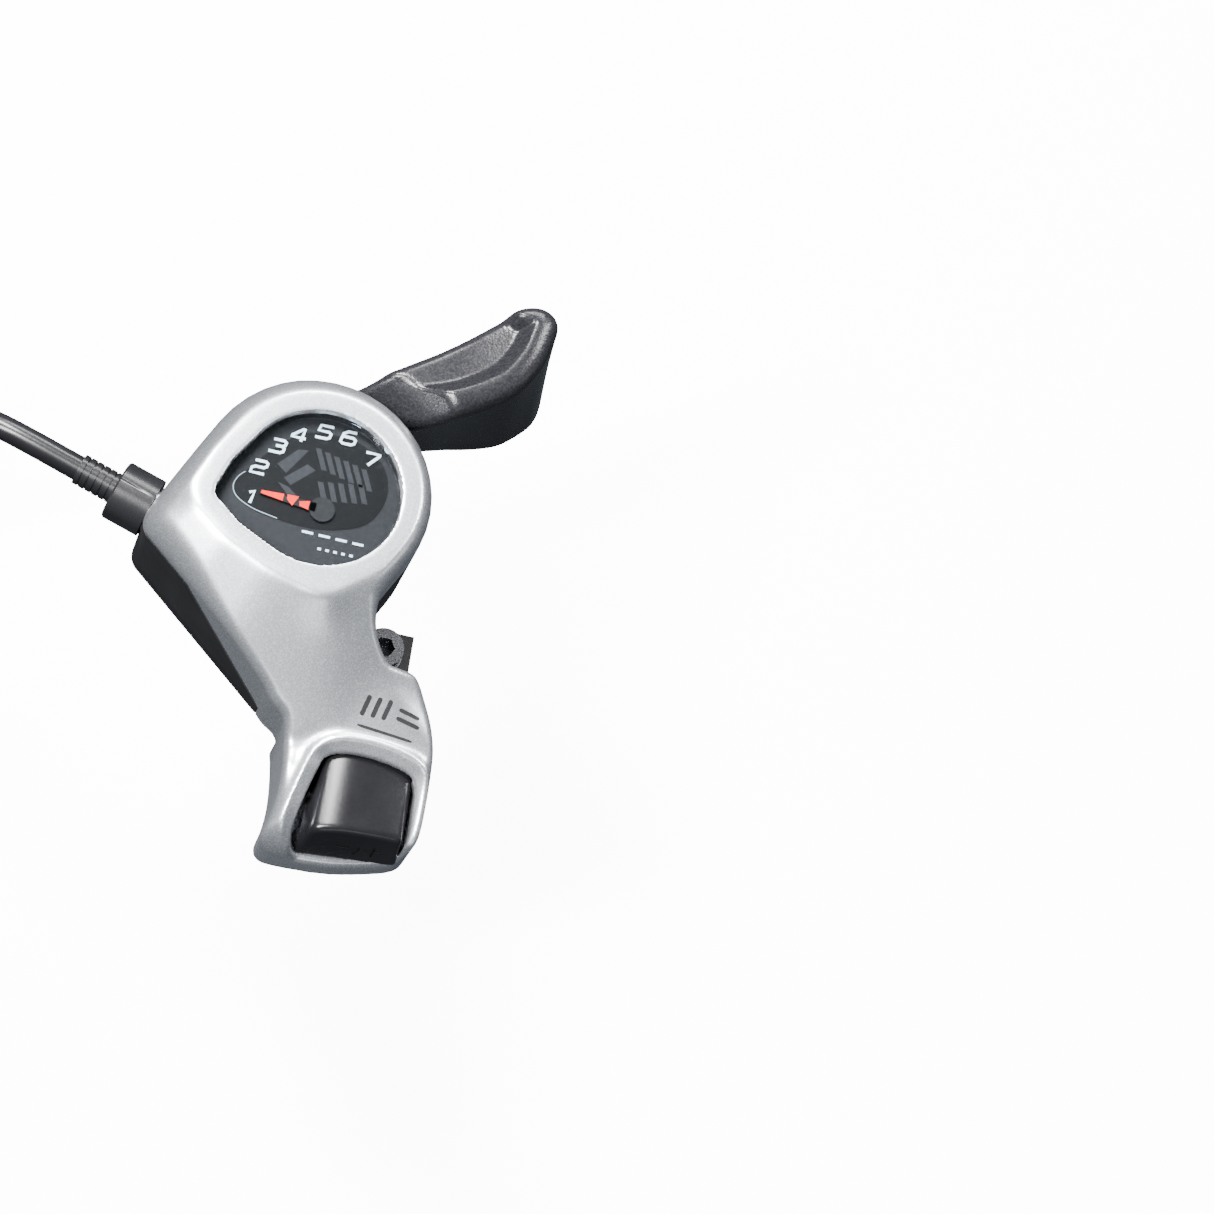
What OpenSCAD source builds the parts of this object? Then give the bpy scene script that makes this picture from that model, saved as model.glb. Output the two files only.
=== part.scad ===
// Right-hand thumb shifter for a bicycle handlebar, with an optical gear display.
// Origin: centre of the handlebar clamp. +X runs along the bar towards the grip,
// +Y points away from the rider and +Z points out of the gear display.

/* [Handlebar clamp] */
// Diameter of the handlebar at the clamp
bar_d = 22.2; // [20:0.2:27]
// Width of the clamp ring along the bar
clamp_w = 14; // [11:0.5:17]
// Wall thickness of the clamp ring
clamp_t = 2.6; // [2:0.1:3.4]
// Diameter of the clamp screw
clamp_screw_d = 4; // [3:0.5:5]
// Gap between the two clamp ears
clamp_gap = 2; // [1:0.5:3]

/* [Housing] */
// Radius of the round display head
head_r = 18.3; // [18:0.1:22]
// Wall thickness of the top cover and the base
wall = 1.8; // [1.2:0.1:2.2]
// Thickness of the base floor
floor_t = 1.8; // [1.4:0.1:2.4]
// Height of the base wall around the head
base_h = 14.3; // [14:0.1:16]
// Height of the top cover around the head
cover_h = 8.5; // [8.2:0.1:10]
// Width of the arched foot over the bar
foot_w = 24; // [23:0.5:29]
// Reach of the foot behind the bar's centre
foot_reach = 23; // [22.5:0.5:28]

/* [Display] */
// Radius of the round part of the window
window_r = 12.7; // [11:0.1:13.2]
// Thickness of the window lens
lens_t = 1.2; // [0.8:0.1:1.5]
// Thickness of the dial plate
dial_t = 1; // [0.8:0.1:1.2]
// Length of the gear needle from its pivot
needle_l = 9.8; // [7:0.1:10]

/* [Lever] */
// Diameter of the main axle
axle_d = 6; // [5:0.2:6.6]
// Reach of the thumb paddle from the axle
paddle_reach = 51.4; // [44:0.2:60]
// Height of the thumb paddle
paddle_h = 19.5; // [16:0.5:21]
// Thickness of the steel plate in the lever
plate_t = 2; // [1.6:0.1:2.2]
// Turn of the lever for one gear, in degrees
gear_step = 13.5; // [10:0.5:14]

/* [Cable] */
// Radius at which the inner wire lies on the spool
wire_r = 12.25; // [11.6:0.05:12.6]
// Diameter of the inner wire
wire_d = 1.2; // [1:0.1:1.6]
// Diameter of the cable casing
casing_d = 4; // [3.6:0.1:4.2]
// Diameter of the adjuster knob
knob_d = 9.6; // [8:0.2:12]
// Length of the adjuster knob
knob_l = 6.2; // [5:0.2:6.6]
// Mean radius of the coiled spare casing
coil_r = 23; // [20:0.5:24]

/* [Button] */
// Width of the release button
button_w = 13.6; // [11:0.2:14]
// Travel of the release button
button_travel = 4.5; // [3:0.5:5]

/* [Hidden] */
$fn = 64;
fit = 0.1;
run = 0.05;
cut = 0.5;
overhang = 50;

// Heights, from the bar upwards
ring_ro = bar_d / 2 + clamp_t;
floor_z = ring_ro + 0.5;
floor_top = floor_z + floor_t;
split_z = floor_z + base_h;
top_z = split_z + cover_h;
plate_z = floor_top + 0.4;
ratchet_z = plate_z + plate_t;
ratchet_t = 2.2;
spool_z = ratchet_z + ratchet_t;
spool_t = 6.2;
wire_z = spool_z + 3.8;
spring_z = spool_z + spool_t + 0.3;
spring_t = 1.8;
roof_t = 2.4;
edge_h = 5.2;
foot_h = 6.4;
neck_h = 10.4;
throat_h = 13.8;
brow_h = 19.4;
lens_z = top_z - 0.8 - lens_t;
dial_z = lens_z - 1.6 - dial_t;
crank_t = 1.2;
crank_z = dial_z - crank_t - 0.9;
needle_t = 0.4;
needle_z = dial_z + dial_t + 0.4;

// Plan of the housing
axle = [-16, 29.5];
head_c = [-16.5, 30];
corner_c = [-37.6, 20.6];
corner_r = 3.5;
neck_c = [-14.8, 0.4];
neck_r = 3;
notch = [-5.5, 14.3];
shoulder = [0.1, 4.6];
foot_mid = -2;
foot_x0 = foot_mid - foot_w / 2;
foot_x1 = foot_mid + foot_w / 2;
foot_y0 = -foot_reach;
foot_y1 = -4.4;
foot_r = 2.5;
foot_drop = 6.2;
blend_r = 3;
tab_low = floor_z + 1;
tab_top = floor_z + 6.2;
tab_c = [4.6, 5.4];
window_c = [-16, 29];
window_tip = [-30.7, 24.9];
window_tip_r = 1.2;
bezel = 1;
crown_h = 3;
crown_in = 1.8;

// Lever, ratchet and pawl
gears = 7;
sweep = gear_step * (gears - 1);
hub_r = 5;
plate_ring_r = 9;
plate_arm_a = 62;
plate_arm_r = 3.1;
plate_arm_end = 28.5;
slot_a0 = plate_arm_a - sweep - 17;
slot_a1 = plate_arm_a + 17;
slot_h = plate_t + 1.2;
ratchet_r = 12.2;
notch_d = 1.5;
spool_r = wire_r + 1;
root_r = head_r + 1.3;
paddle_z = floor_z + 0.8;
root_h = 12;
detent_a = 165;
leaf_x = 13.2;
pawl_a = -76;
pawl_c = [-16, 11.5];
pawl_t = 1.9;
pawl_z = ratchet_z + 0.15;
pawl_pin_r = 1.5;
tail_c = [-14.7, 4];
tail_r = 1;

// Needle drive: a pin on the spool turns a slotted crank about the needle's pivot
needle_c = [-15, 26.6];
pin_r = 0.8;
pin_reach = 7.7;
pin_mid_a = atan2(needle_c[1] - axle[1], needle_c[0] - axle[0]);
pin_a = pin_mid_a + 40.5;
pin_pos = axle + pin_reach * [cos(pin_a), sin(pin_a)];
crank_a = atan2(pin_pos[1] - needle_c[1], pin_pos[0] - needle_c[0]);
needle_a = 176;
needle_shaft_r = 1.5;

// Cable line: tangent to the spool on the rider's side
line_a = 162;
line_dir = [cos(line_a), sin(line_a)];
line_out = [cos(line_a + 90), sin(line_a + 90)];
line_0 = axle + wire_r * line_out;
// The head's straight side leans with its radius, and the boss ends beyond it on the knob's far side
flank_a = atan2(head_c[1] - corner_c[1], head_c[0] - corner_c[0]) + 90
    + asin((head_r - corner_r) / norm(head_c - corner_c));
flank_dir = [cos(flank_a), sin(flank_a)];
flank_u = ((corner_c - line_0) * flank_dir + corner_r + knob_d / 2 * (line_out * flank_dir))
    / (line_dir * flank_dir);
boss_u1 = max(20.8, flank_u + fit);
boss_u0 = boss_u1 - 2.8;
boss_r = 4.4;
thread_r = 2.5;
wire_bore_r = 0.9;
knob_u = boss_u1 + 0.5;
knob_end = knob_u + knob_l;
knob_bevel = 0.3;
nose_d = casing_d + 1;
nose_l = 6.4;
nose_end = knob_end + nose_l;
seat_u = knob_end - 3;

// Casing route as distance along the cable line, sideways shift and height
coil_u = 95;
coil_w = 16.6;
coil_drop = 60;
coil_z = wire_z - coil_drop;
lead = [
    [seat_u, 0, 0], [37, 0, 0], [42, 0, 0], [47, 0, -0.3], [52, 0, -1.6], [57, 0.1, -4.2],
    [61, 0.5, -8], [64.4, 1.2, -12.8], [66.6, 2.2, -18.4], [67.6, 3.4, -24.4],
    [67.9, 4.5, -31], [67.9, 5.4, -38], [67.9, 6, -45], [67.9, 6.2, -52], [67.9, 6.2, -60]
];
tail_lead = [
    [67.9, -6.2, -61], [67.5, -6.2, -65], [66.5, -6.2, -68.5], [65.7, -6.2, -71.5],
    [65.6, -6.2, -72.6], [65.6, -6.2, -76]
];
coil_depth = 3 * casing_d + 0.4;
side_dir = [line_out[0], line_out[1], 0];
ferrule_l = 13;

// Fasteners
cover_screws_at = [[-31, 37], [-9.5, 12.5], [-10.3, -6.2]];
post_r = 2.4;
screw_r = 1.3;
screw_head_r = 2.1;
screw_head_t = 1.5;
base_screws_at = [[-6, 5.3], [-2.7, 0.8]];
base_screw_r = 1.5;
base_head_r = 2.4;
base_head_t = 1.9;
nut_af = 7;
nut_h = 3.2;
ear_x = 1;
ear_y = ring_ro + 1.6;
ear_w = 10;
ear_h = sqrt(ring_ro * ring_ro - pow(ear_y - nut_af / 2, 2)) + 0.3;
ear_end = ear_y + 4.2;
clamp_head_r = 3.2;
clamp_head_h = 3.4;
clamp_washer_t = 0.6;
axle_nut_af = 8;
axle_nut_h = 2.6;
washer_t = 0.8;
cap_r = 12;
cap_depth = 5.6;
plug_a = 118;
plug_r = 3;

// Button and its rod
button_x0 = foot_mid + 2.6 - button_w / 2;
button_x1 = button_x0 + button_w;
button_y0 = foot_y0 + 2.3;
button_y1 = -6.5;
button_z = floor_top + 0.2;
button_top = button_z + 6;
button_skirt = 2.6;
button_gap_y = -8.1;
spring_x = 2.65;
spring_rise = 2.2;
spring_seat_y = button_y1 + button_travel + 0.2;
spring_y0 = button_y1 - 5.6;
spring_wide = 1.3;
rod_z = ratchet_z + 0.1;
rod_t = 1.8;
lip_top = floor_z - 1;

// Cable nipple in the spool
nipple_a = line_a + 90 - 360 + sweep + 25;
nipple_r = 1.9;

// Maps distance along the cable line, sideways shift and height to model space
function route(p) = [
    line_0[0] + line_dir[0] * p[0] + line_out[0] * p[1],
    line_0[1] + line_dir[1] * p[0] + line_out[1] * p[1],
    wire_z + p[2]
];
function unit(v) = v / norm(v);
function dir(a) = [cos(a), sin(a)];
function tangent(pts, i) = unit(pts[min(i + 1, len(pts) - 1)] - pts[max(i - 1, 0)]);

// A round tube swept along points; side is never parallel to the path
module tube(pts, r, side, sides) {
    n = len(pts);
    rings = [
        for (i = [0 : n - 1])
            let (
                t = tangent(pts, i),
                a = unit(cross(t, side)),
                b = cross(t, a)
            )
            for (k = [0 : sides - 1])
                pts[i] + r * (cos(360 * k / sides) * a + sin(360 * k / sides) * b)
    ];
    walls = [
        for (i = [0 : n - 2])
            for (k = [0 : sides - 1])
                let (m = (k + 1) % sides)
                [i * sides + k, i * sides + m, (i + 1) * sides + m, (i + 1) * sides + k]
    ];
    first = [for (k = [sides - 1 : -1 : 0]) k];
    last = [for (k = [0 : sides - 1]) (n - 1) * sides + k];
    polyhedron(points = rings, faces = concat(walls, [first, last]), convexity = 6);
}

module at_axle() translate([axle[0], axle[1], 0]) children();

// Puts +Z along the cable line, starting at distance u
module on_line(u) {
    p = route([u, 0, 0]);
    translate(p) rotate([0, 0, line_a]) rotate([0, 90, 0]) children();
}

module along_bar(r, l) rotate([0, 90, 0]) cylinder(r = r, h = l, center = true);

module hexagon(af, h) cylinder(d = af / cos(30), h = h, $fn = 6);

module body_plan() {
    offset(r = -blend_r) offset(delta = blend_r) {
        hull() {
            translate(head_c) circle(head_r);
            translate(corner_c) circle(corner_r);
            translate(neck_c) circle(neck_r);
        }
        polygon([notch, shoulder, [foot_x1, foot_y1], [foot_x0, -8], neck_c]);
        foot_plan();
    }
}

module foot_plan() {
    hull() {
        translate([foot_x1 - foot_r, foot_y1 - foot_r]) circle(foot_r);
        translate([foot_x1 - foot_r, foot_y0 + 2.6 + foot_r]) circle(foot_r);
        translate([foot_x0 + foot_r + 0.3, foot_y0 + foot_r]) circle(foot_r);
        translate([foot_x0 + foot_r, -8]) circle(foot_r);
    }
}

module tab_plan() {
    hull() {
        translate(tab_c) circle(1.2);
        translate([shoulder[0] - 1, shoulder[1] - 1]) circle(1);
        translate([foot_x1 - 1.6, foot_y1 + 0.4]) circle(1);
    }
}

// Round window drawn out to a tip: two arcs joined by their outer tangents
module window_plan(grow) {
    away = window_tip - window_c;
    mid_a = atan2(away[1], away[0]);
    open_a = acos((window_r - window_tip_r) / norm(away));
    turn = 360 - 2 * open_a;
    polygon(concat(
        [for (i = [0 : 48]) window_c + (window_r + grow) * dir(mid_a + open_a + turn * i / 48)],
        [for (i = [0 : 12]) window_tip + (window_tip_r + grow) * dir(mid_a - open_a + open_a * i / 6)]
    ));
}

// Turns a Y-Z outline into a slab across the whole width
module side_slab(points) {
    translate([-overhang, 0, 0]) rotate([90, 0, 90]) linear_extrude(2 * overhang) polygon(points);
}

// Top line of the cover in Y-Z, lowered by t
function roof_line(t) = [
    [-overhang, floor_z + edge_h - t], [-20, floor_z + foot_h - t], [foot_y1, floor_z + neck_h - t],
    [4, floor_z + throat_h - t], [12, floor_z + brow_h - t], [17, top_z - t], [overhang, top_z - t]
];

// Line in Y-Z along which the cover meets the base
split_line = [[overhang, split_z], [12, split_z], [-1, floor_top + 1]];

module cover_outer() {
    intersection() {
        translate([0, 0, floor_z - foot_drop]) linear_extrude(top_z - crown_h - floor_z + foot_drop)
            body_plan();
        side_slab(concat(
            [[-overhang, floor_z - foot_drop]], roof_line(0), split_line,
            [[-1, floor_z], [foot_y1 - 0.5, floor_z], [foot_y1 - 0.5, floor_z - foot_drop]]
        ));
    }
    translate([0, 0, top_z - crown_h - 1]) linear_extrude(crown_h + 1) intersection() {
        offset(delta = -crown_in) body_plan();
        translate([-overhang, 15]) square(2 * overhang);
    }
    cover_tab(0);
}

// Low step beside the neck
module cover_tab(grow) {
    translate([0, 0, tab_low - grow]) linear_extrude(tab_top - tab_low + 2 * grow)
        offset(delta = grow) tab_plan();
}

module cover_inner() {
    intersection() {
        translate([0, 0, -10]) linear_extrude(top_z + 10) offset(delta = -wall) body_plan();
        side_slab(concat([[-overhang, -20]], roof_line(roof_t), [[overhang, -20]]));
    }
}

// Opening for the button, and the room under the roof that it slides into
module button_gap(grow) {
    gap_w = button_w + 2 * grow;
    translate([button_x0 - grow, foot_y0 - 1, lip_top]) cube([gap_w, 12, 14]);
    translate([button_x0 - grow, foot_y0 + 1.8, button_z - 0.2])
        cube([gap_w, button_gap_y - foot_y0 - 1.8, 12]);
    translate([button_x0 - grow, button_gap_y - 1, button_z - 0.2])
        cube([gap_w, button_y1 + button_travel + 1.5 - button_gap_y, button_top - button_z + 0.4]);
}

module top_cover() {
    color("silver") difference() {
        union() {
            difference() {
                cover_outer();
                cover_inner();
            }
            translate([0, 0, dial_z - 0.3]) linear_extrude(top_z - roof_t - dial_z + 0.5)
                window_plan(bezel + 1.1);
            for (p = cover_screws_at) translate([p[0], p[1], 0]) cover_post(p);
        }
        translate([0, 0, lens_z + lens_t]) linear_extrude(3) window_plan(0);
        translate([0, 0, dial_z - cut]) linear_extrude(lens_z + lens_t - dial_z + cut)
            window_plan(bezel);
        button_gap(0.4);
        along_bar(bar_d / 2 + 0.6, 2 * overhang);
        for (p = cover_screws_at) translate([p[0], p[1], floor_z - 1])
            cylinder(r = screw_r, h = post_top(p) - floor_z - 0.2);
    }
}

// Height at which a screw post starts, from the split line at its own Y
function post_z(p) = p[1] > 12 ? split_z : floor_top;

// Height of a post's upper end, inside the roof above it
function post_top(p) = p[1] > 17 ? top_z - crown_h : p[1] > 0 ? floor_z + 18 : floor_z + 8.4;

module cover_post(p) {
    translate([0, 0, post_z(p)]) cylinder(r = post_r, h = post_top(p) - post_z(p));
}

module window_lens() {
    color("lightcyan", 0.4) {
        translate([0, 0, lens_z]) linear_extrude(lens_t) window_plan(bezel - fit);
        translate([0, 0, dial_z + dial_t]) linear_extrude(lens_z - dial_z - dial_t) difference() {
            window_plan(bezel - fit);
            window_plan(bezel - 0.8);
        }
    }
}

module dial_plate() {
    color("#202224") difference() {
        translate([0, 0, dial_z]) linear_extrude(dial_t) window_plan(bezel - fit);
        translate([needle_c[0], needle_c[1], dial_z - 1])
            cylinder(r = needle_shaft_r + run, h = dial_t + 2);
    }
}

module base_housing() {
    color("#1b1c1e") difference() {
        union() {
            difference() {
                intersection() {
                    translate([0, 0, floor_z]) linear_extrude(base_h) body_plan();
                    side_slab(concat(split_line, [[-1, floor_z], [overhang, floor_z]]));
                }
                translate([0, 0, floor_top]) linear_extrude(base_h) offset(delta = -wall) body_plan();
            }
            base_foot_floor();
            intersection() {
                on_line(boss_u0) cylinder(r = boss_r, h = boss_u1 - boss_u0);
                translate([-overhang, -overhang, 0]) cube([3 * overhang, 3 * overhang, split_z]);
            }
            for (i = [0, 1]) translate([cover_screws_at[i][0], cover_screws_at[i][1], floor_z + 1])
                cylinder(r = post_r, h = post_z(cover_screws_at[i]) - floor_z - 1);
            at_axle() rotate([0, 0, detent_a]) translate([leaf_x, 8, floor_z + 1])
                cube([3, 4, spool_z - floor_z - 1.2]);
            translate([spring_x - 1.1, spring_seat_y, floor_z + 1]) cube([1.6, 0.8, floor_t + 3]);
        }
        on_line(boss_u1) cylinder(r = boss_r, h = 2);
        cover_tab(fit);
        lever_slot();
        at_axle() cylinder(r = 2.5, h = overhang);
        on_line(boss_u0 - 4) cylinder(r = thread_r, h = boss_u1 - boss_u0 + 5);
        translate([pawl_c[0], pawl_c[1], 0]) cylinder(r = pawl_pin_r, h = overhang);
        for (p = cover_screws_at) translate([p[0], p[1], 0]) cylinder(r = screw_r + 0.1, h = overhang);
        for (p = base_screws_at) translate([p[0], p[1], 0]) cylinder(r = base_screw_r, h = overhang);
        at_axle() rotate([0, 0, detent_a]) translate([10, 10, ratchet_z + 1.1])
            rotate([0, 90, 0]) cylinder(r = 0.7, h = 5.4);
        at_axle() rotate([0, 0, plug_a]) translate([12, 0, wire_z - 1]) rotate([0, 90, 0])
            cylinder(r = plug_r, h = 12);
        at_axle() translate([cap_r - 2.2, 0, 0]) cylinder(r = 1.1, h = floor_top + 5);
    }
}

module base_foot_floor() {
    translate([0, 0, floor_z]) linear_extrude(floor_t) intersection() {
        offset(delta = -wall - fit) body_plan();
        translate([-overhang, -11.6]) square([2 * overhang, 15]);
    }
}

// Slot in the base wall through which the steel plate swings
module lever_slot() {
    reach = head_r + 6;
    at_axle() translate([0, 0, floor_top]) linear_extrude(slot_h) polygon(concat(
        [[0, 0]],
        [for (a = [0 : 6]) let (b = slot_a0 + (slot_a1 - slot_a0) * a / 6) reach * [cos(b), sin(b)]]
    ));
}

module bottom_cover() {
    color("#1b1c1e") at_axle() difference() {
        translate([0, 0, floor_z - cap_depth]) cylinder(r = cap_r, h = cap_depth);
        translate([0, 0, floor_z - cap_depth + 1.2]) cylinder(r = cap_r - 1.2, h = cap_depth);
        translate([cap_r - 2.2, 0, 0]) cylinder(r = 1.2, h = overhang);
    }
    color("#1b1c1e") at_axle() translate([cap_r - 2.2, 0, floor_z - cap_depth]) difference() {
        cylinder(r = 2.1, h = cap_depth);
        translate([0, 0, -1]) cylinder(r = 1.2, h = cap_depth + 2);
    }
}

module cover_cap_screw() {
    color("dimgray") at_axle() translate([cap_r - 2.2, 0, floor_z - cap_depth]) {
        translate([0, 0, -1.4]) pan_head(2, 1.4);
        cylinder(r = 1.1, h = cap_depth + floor_t - 0.2);
    }
}

// Round head with a cross recess in its lower face
module pan_head(r, t) {
    difference() {
        cylinder(r = r, h = t);
        for (a = [0, 90]) rotate([0, 0, a]) translate([-r * 0.6, -0.25, -cut])
            cube([r * 1.2, 0.5, cut + 0.7]);
    }
}

module port_plug() {
    color("#242528") at_axle() rotate([0, 0, plug_a]) translate([0, 0, wire_z - 1])
        rotate([0, 90, 0]) {
            translate([0, 0, head_r - 2.7]) cylinder(r = plug_r - fit, h = 3.6);
            translate([0, 0, head_r + 0.8]) cylinder(r = plug_r + 0.6, h = 0.8);
        }
}

module cover_screws() {
    color("dimgray") for (p = cover_screws_at) translate([p[0], p[1], floor_z]) {
        translate([0, 0, -screw_head_t]) pan_head(screw_head_r, screw_head_t);
        cylinder(r = screw_r - 0.05, h = post_top(p) - floor_z - 2);
    }
}

module base_screws() {
    color("gray") for (p = base_screws_at) translate([p[0], p[1], floor_top]) {
        rotate([180, 0, 0]) translate([0, 0, -base_head_t]) pan_head(base_head_r, base_head_t);
        translate([0, 0, -floor_t - 2.4]) cylinder(r = base_screw_r - 0.05, h = floor_t + 2.4);
    }
}

module clamp_ring() {
    color("#1b1c1e") difference() {
        union() {
            along_bar(ring_ro, clamp_w);
            translate([-8.8, -2, bar_d / 2 + 0.3]) cube([9.2, 10.4, floor_z - bar_d / 2 - 0.3]);
            translate([ear_x - ear_w / 2, bar_d / 2 - 2, -ear_h])
                cube([ear_w, ear_end - bar_d / 2 + 2, 2 * ear_h]);
        }
        along_bar(bar_d / 2, 2 * clamp_w);
        translate([-clamp_w, 0, -clamp_gap / 2]) cube([2 * clamp_w, overhang, clamp_gap]);
        translate([ear_x, ear_y, 0]) cylinder(d = clamp_screw_d + 0.3, h = overhang, center = true);
        for (p = base_screws_at) translate([p[0], p[1], floor_z - 2.5])
            cylinder(r = base_screw_r, h = 5);
    }
}

module clamp_screw() {
    color("dimgray") translate([ear_x, ear_y, ear_h]) {
        difference() {
            translate([0, 0, clamp_washer_t]) cylinder(r = clamp_head_r, h = clamp_head_h);
            translate([0, 0, 2]) hexagon(3, 4);
        }
        translate([0, 0, -2 * ear_h - nut_h - 0.5])
            cylinder(d = clamp_screw_d, h = 2 * ear_h + nut_h + 0.5 + clamp_washer_t);
    }
}

module clamp_washer() {
    color("gray") translate([ear_x, ear_y, ear_h]) difference() {
        cylinder(r = clamp_head_r + 0.3, h = clamp_washer_t);
        translate([0, 0, -1]) cylinder(d = clamp_screw_d + 0.2, h = 3);
    }
}

module clamp_nut() {
    color("gray") translate([ear_x, ear_y, -ear_h - nut_h]) difference() {
        hexagon(nut_af, nut_h);
        translate([0, 0, -1]) cylinder(d = clamp_screw_d, h = nut_h + 2);
    }
}

module main_axle() {
    color("silver") at_axle() difference() {
        union() {
            translate([0, 0, floor_z - 3.8]) cylinder(r = 2.5, h = floor_t + 3.8);
            translate([0, 0, floor_top]) cylinder(d = axle_d + 2.4, h = 0.35);
            translate([0, 0, floor_top]) cylinder(d = axle_d, h = spring_z + spring_t + 0.7 - floor_top);
        }
        translate([-axle_d, -0.3, spring_z]) cube([2 * axle_d, 0.6, spring_t - 0.1]);
        translate([0, 0, spring_z + spring_t - 0.1]) difference() {
            cylinder(d = axle_d + 2, h = 0.5);
            translate([0, 0, -1]) cylinder(d = axle_d - 1.2, h = 3);
        }
    }
}

module axle_clip() {
    color("gray") at_axle() translate([0, 0, spring_z + spring_t - 0.05]) difference() {
        cylinder(d = axle_d + 2.6, h = 0.4);
        translate([0, 0, -1]) cylinder(d = axle_d - 1.1, h = 3);
        translate([-0.9, 0, -1]) cube([1.8, axle_d, 3]);
    }
}

module axle_washer() {
    color("gray") at_axle() translate([0, 0, floor_z - washer_t]) difference() {
        cylinder(r = 5, h = washer_t);
        translate([0, 0, -1]) cylinder(r = 2.55, h = 3);
    }
}

module axle_nut() {
    color("gray") at_axle() translate([0, 0, floor_z - washer_t - axle_nut_h]) difference() {
        hexagon(axle_nut_af, axle_nut_h);
        translate([0, 0, -1]) cylinder(r = 2.5, h = axle_nut_h + 2);
    }
}

module paddle_plan() {
    tip = axle + paddle_reach * [cos(49), sin(49)];
    difference() {
        union() {
            hull() {
                translate([-11.5, 48.2]) circle(3);
                translate([-1.5, 47]) circle(1.5);
                translate(tip + [-4.7, -8.6]) circle(6.1);
            }
            hull() {
                translate([0, 54.5]) circle(2);
                translate(tip + [-4.7, -8.6]) circle(6.1);
                translate(tip + [-3.6, -3.4]) circle(3.6);
            }
        }
        translate(axle) circle(root_r);
    }
}

module thumb_lever() {
    color("#161719") difference() {
        union() {
            translate([0, 0, plate_z - 1.4]) linear_extrude(root_h + 1.4) paddle_plan();
            translate([0, 0, paddle_z]) linear_extrude(paddle_h) difference() {
                paddle_plan();
                translate(axle) circle(root_r + 7);
            }
        }
        lever_plate_solid();
    }
}

module lever_plate_solid() {
    at_axle() translate([0, 0, plate_z]) rotate([0, 0, plate_arm_a]) {
        cylinder(r = plate_ring_r, h = plate_t);
        translate([0, -plate_arm_r, 0]) cube([plate_arm_end, 2 * plate_arm_r, plate_t]);
        translate([plate_arm_end, 0, 0]) cylinder(r = plate_arm_r, h = plate_t);
    }
}

module lever_plate() {
    color("lightsteelblue") difference() {
        lever_plate_solid();
        at_axle() translate([0, 0, plate_z - 1]) cylinder(r = hub_r, h = plate_t + 2);
    }
}

// One notch at angle a: a steep face and a ramp
module tooth_gap(a) {
    rotate([0, 0, a]) linear_extrude(ratchet_t + 2, center = true)
        polygon([
            [ratchet_r - notch_d, -0.6], [ratchet_r + 1, -1], [ratchet_r + 1, 2.6],
            [ratchet_r - notch_d, 0.4]
        ]);
}

module ratchet_wheel() {
    color("slategray") at_axle() translate([0, 0, ratchet_z]) difference() {
        cylinder(r = ratchet_r, h = ratchet_t);
        translate([0, 0, -1]) cylinder(r = hub_r, h = ratchet_t + 2);
        for (g = [0 : gears - 1]) {
            translate([0, 0, ratchet_t / 2]) tooth_gap(pawl_a + g * gear_step);
            translate([0, 0, ratchet_t / 2]) tooth_gap(detent_a + g * gear_step);
        }
    }
}

module cable_spool() {
    color("#3a3c40") at_axle() difference() {
        union() {
            translate([0, 0, plate_z]) cylinder(r = hub_r, h = spool_z - plate_z);
            translate([0, 0, spool_z]) cylinder(r = spool_r, h = spool_t);
        }
        translate([0, 0, plate_z - 1]) cylinder(d = axle_d + 2 * run, h = overhang);
        translate([0, 0, plate_z - 1]) cylinder(d = axle_d + 3, h = 1.1);
        translate([0, 0, wire_z]) rotate_extrude() translate([wire_r, 0]) circle(wire_d / 2 + 0.15);
        translate([0, 0, wire_z - wire_d / 2 - 0.15]) difference() {
            cylinder(r = spool_r + 1, h = wire_d + 0.3);
            translate([0, 0, -1]) cylinder(r = wire_r, h = 4);
        }
        translate([wire_r * cos(nipple_a), wire_r * sin(nipple_a), wire_z - 2.3])
            cylinder(r = nipple_r + 0.05, h = 10);
        translate([pin_reach * cos(pin_a), pin_reach * sin(pin_a), spool_z + 1])
            cylinder(r = pin_r, h = 10);
    }
}

module needle_pin() {
    color("silver") translate([pin_pos[0], pin_pos[1], spool_z + 1])
        cylinder(r = pin_r, h = crank_z + crank_t - spool_z - 1.2);
}

module cable_nipple() {
    color("silver") at_axle() translate([wire_r * cos(nipple_a), wire_r * sin(nipple_a), wire_z - 2.3])
        difference() {
            cylinder(r = nipple_r, h = 4.4);
            translate([0, 0, 2.3]) rotate([0, 0, nipple_a + 90]) rotate([0, 90, 0])
                cylinder(d = wire_d + 0.3, h = 6, center = true);
        }
}

// Flat spiral between the axle slot and the spool
module return_spring() {
    r0 = axle_d / 2 + 0.7;
    r1 = pin_reach - pin_r - 0.8;
    turns = 3.5;
    steps = 84;
    strip = 0.35;
    function at(i, o) = (r0 + (r1 - r0) * i / steps + o) * [cos(360 * turns * i / steps), sin(360 * turns * i / steps)];
    color("steelblue") at_axle() translate([0, 0, spring_z]) {
        linear_extrude(spring_t - 0.3) polygon(concat(
            [for (i = [0 : steps]) at(i, 0)],
            [for (i = [steps : -1 : 0]) at(i, strip)]
        ));
        translate([axle_d / 2 - 1, -0.2, 0]) cube([1.1 + 0.7, 0.4, spring_t - 0.3]);
    }
}

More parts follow.
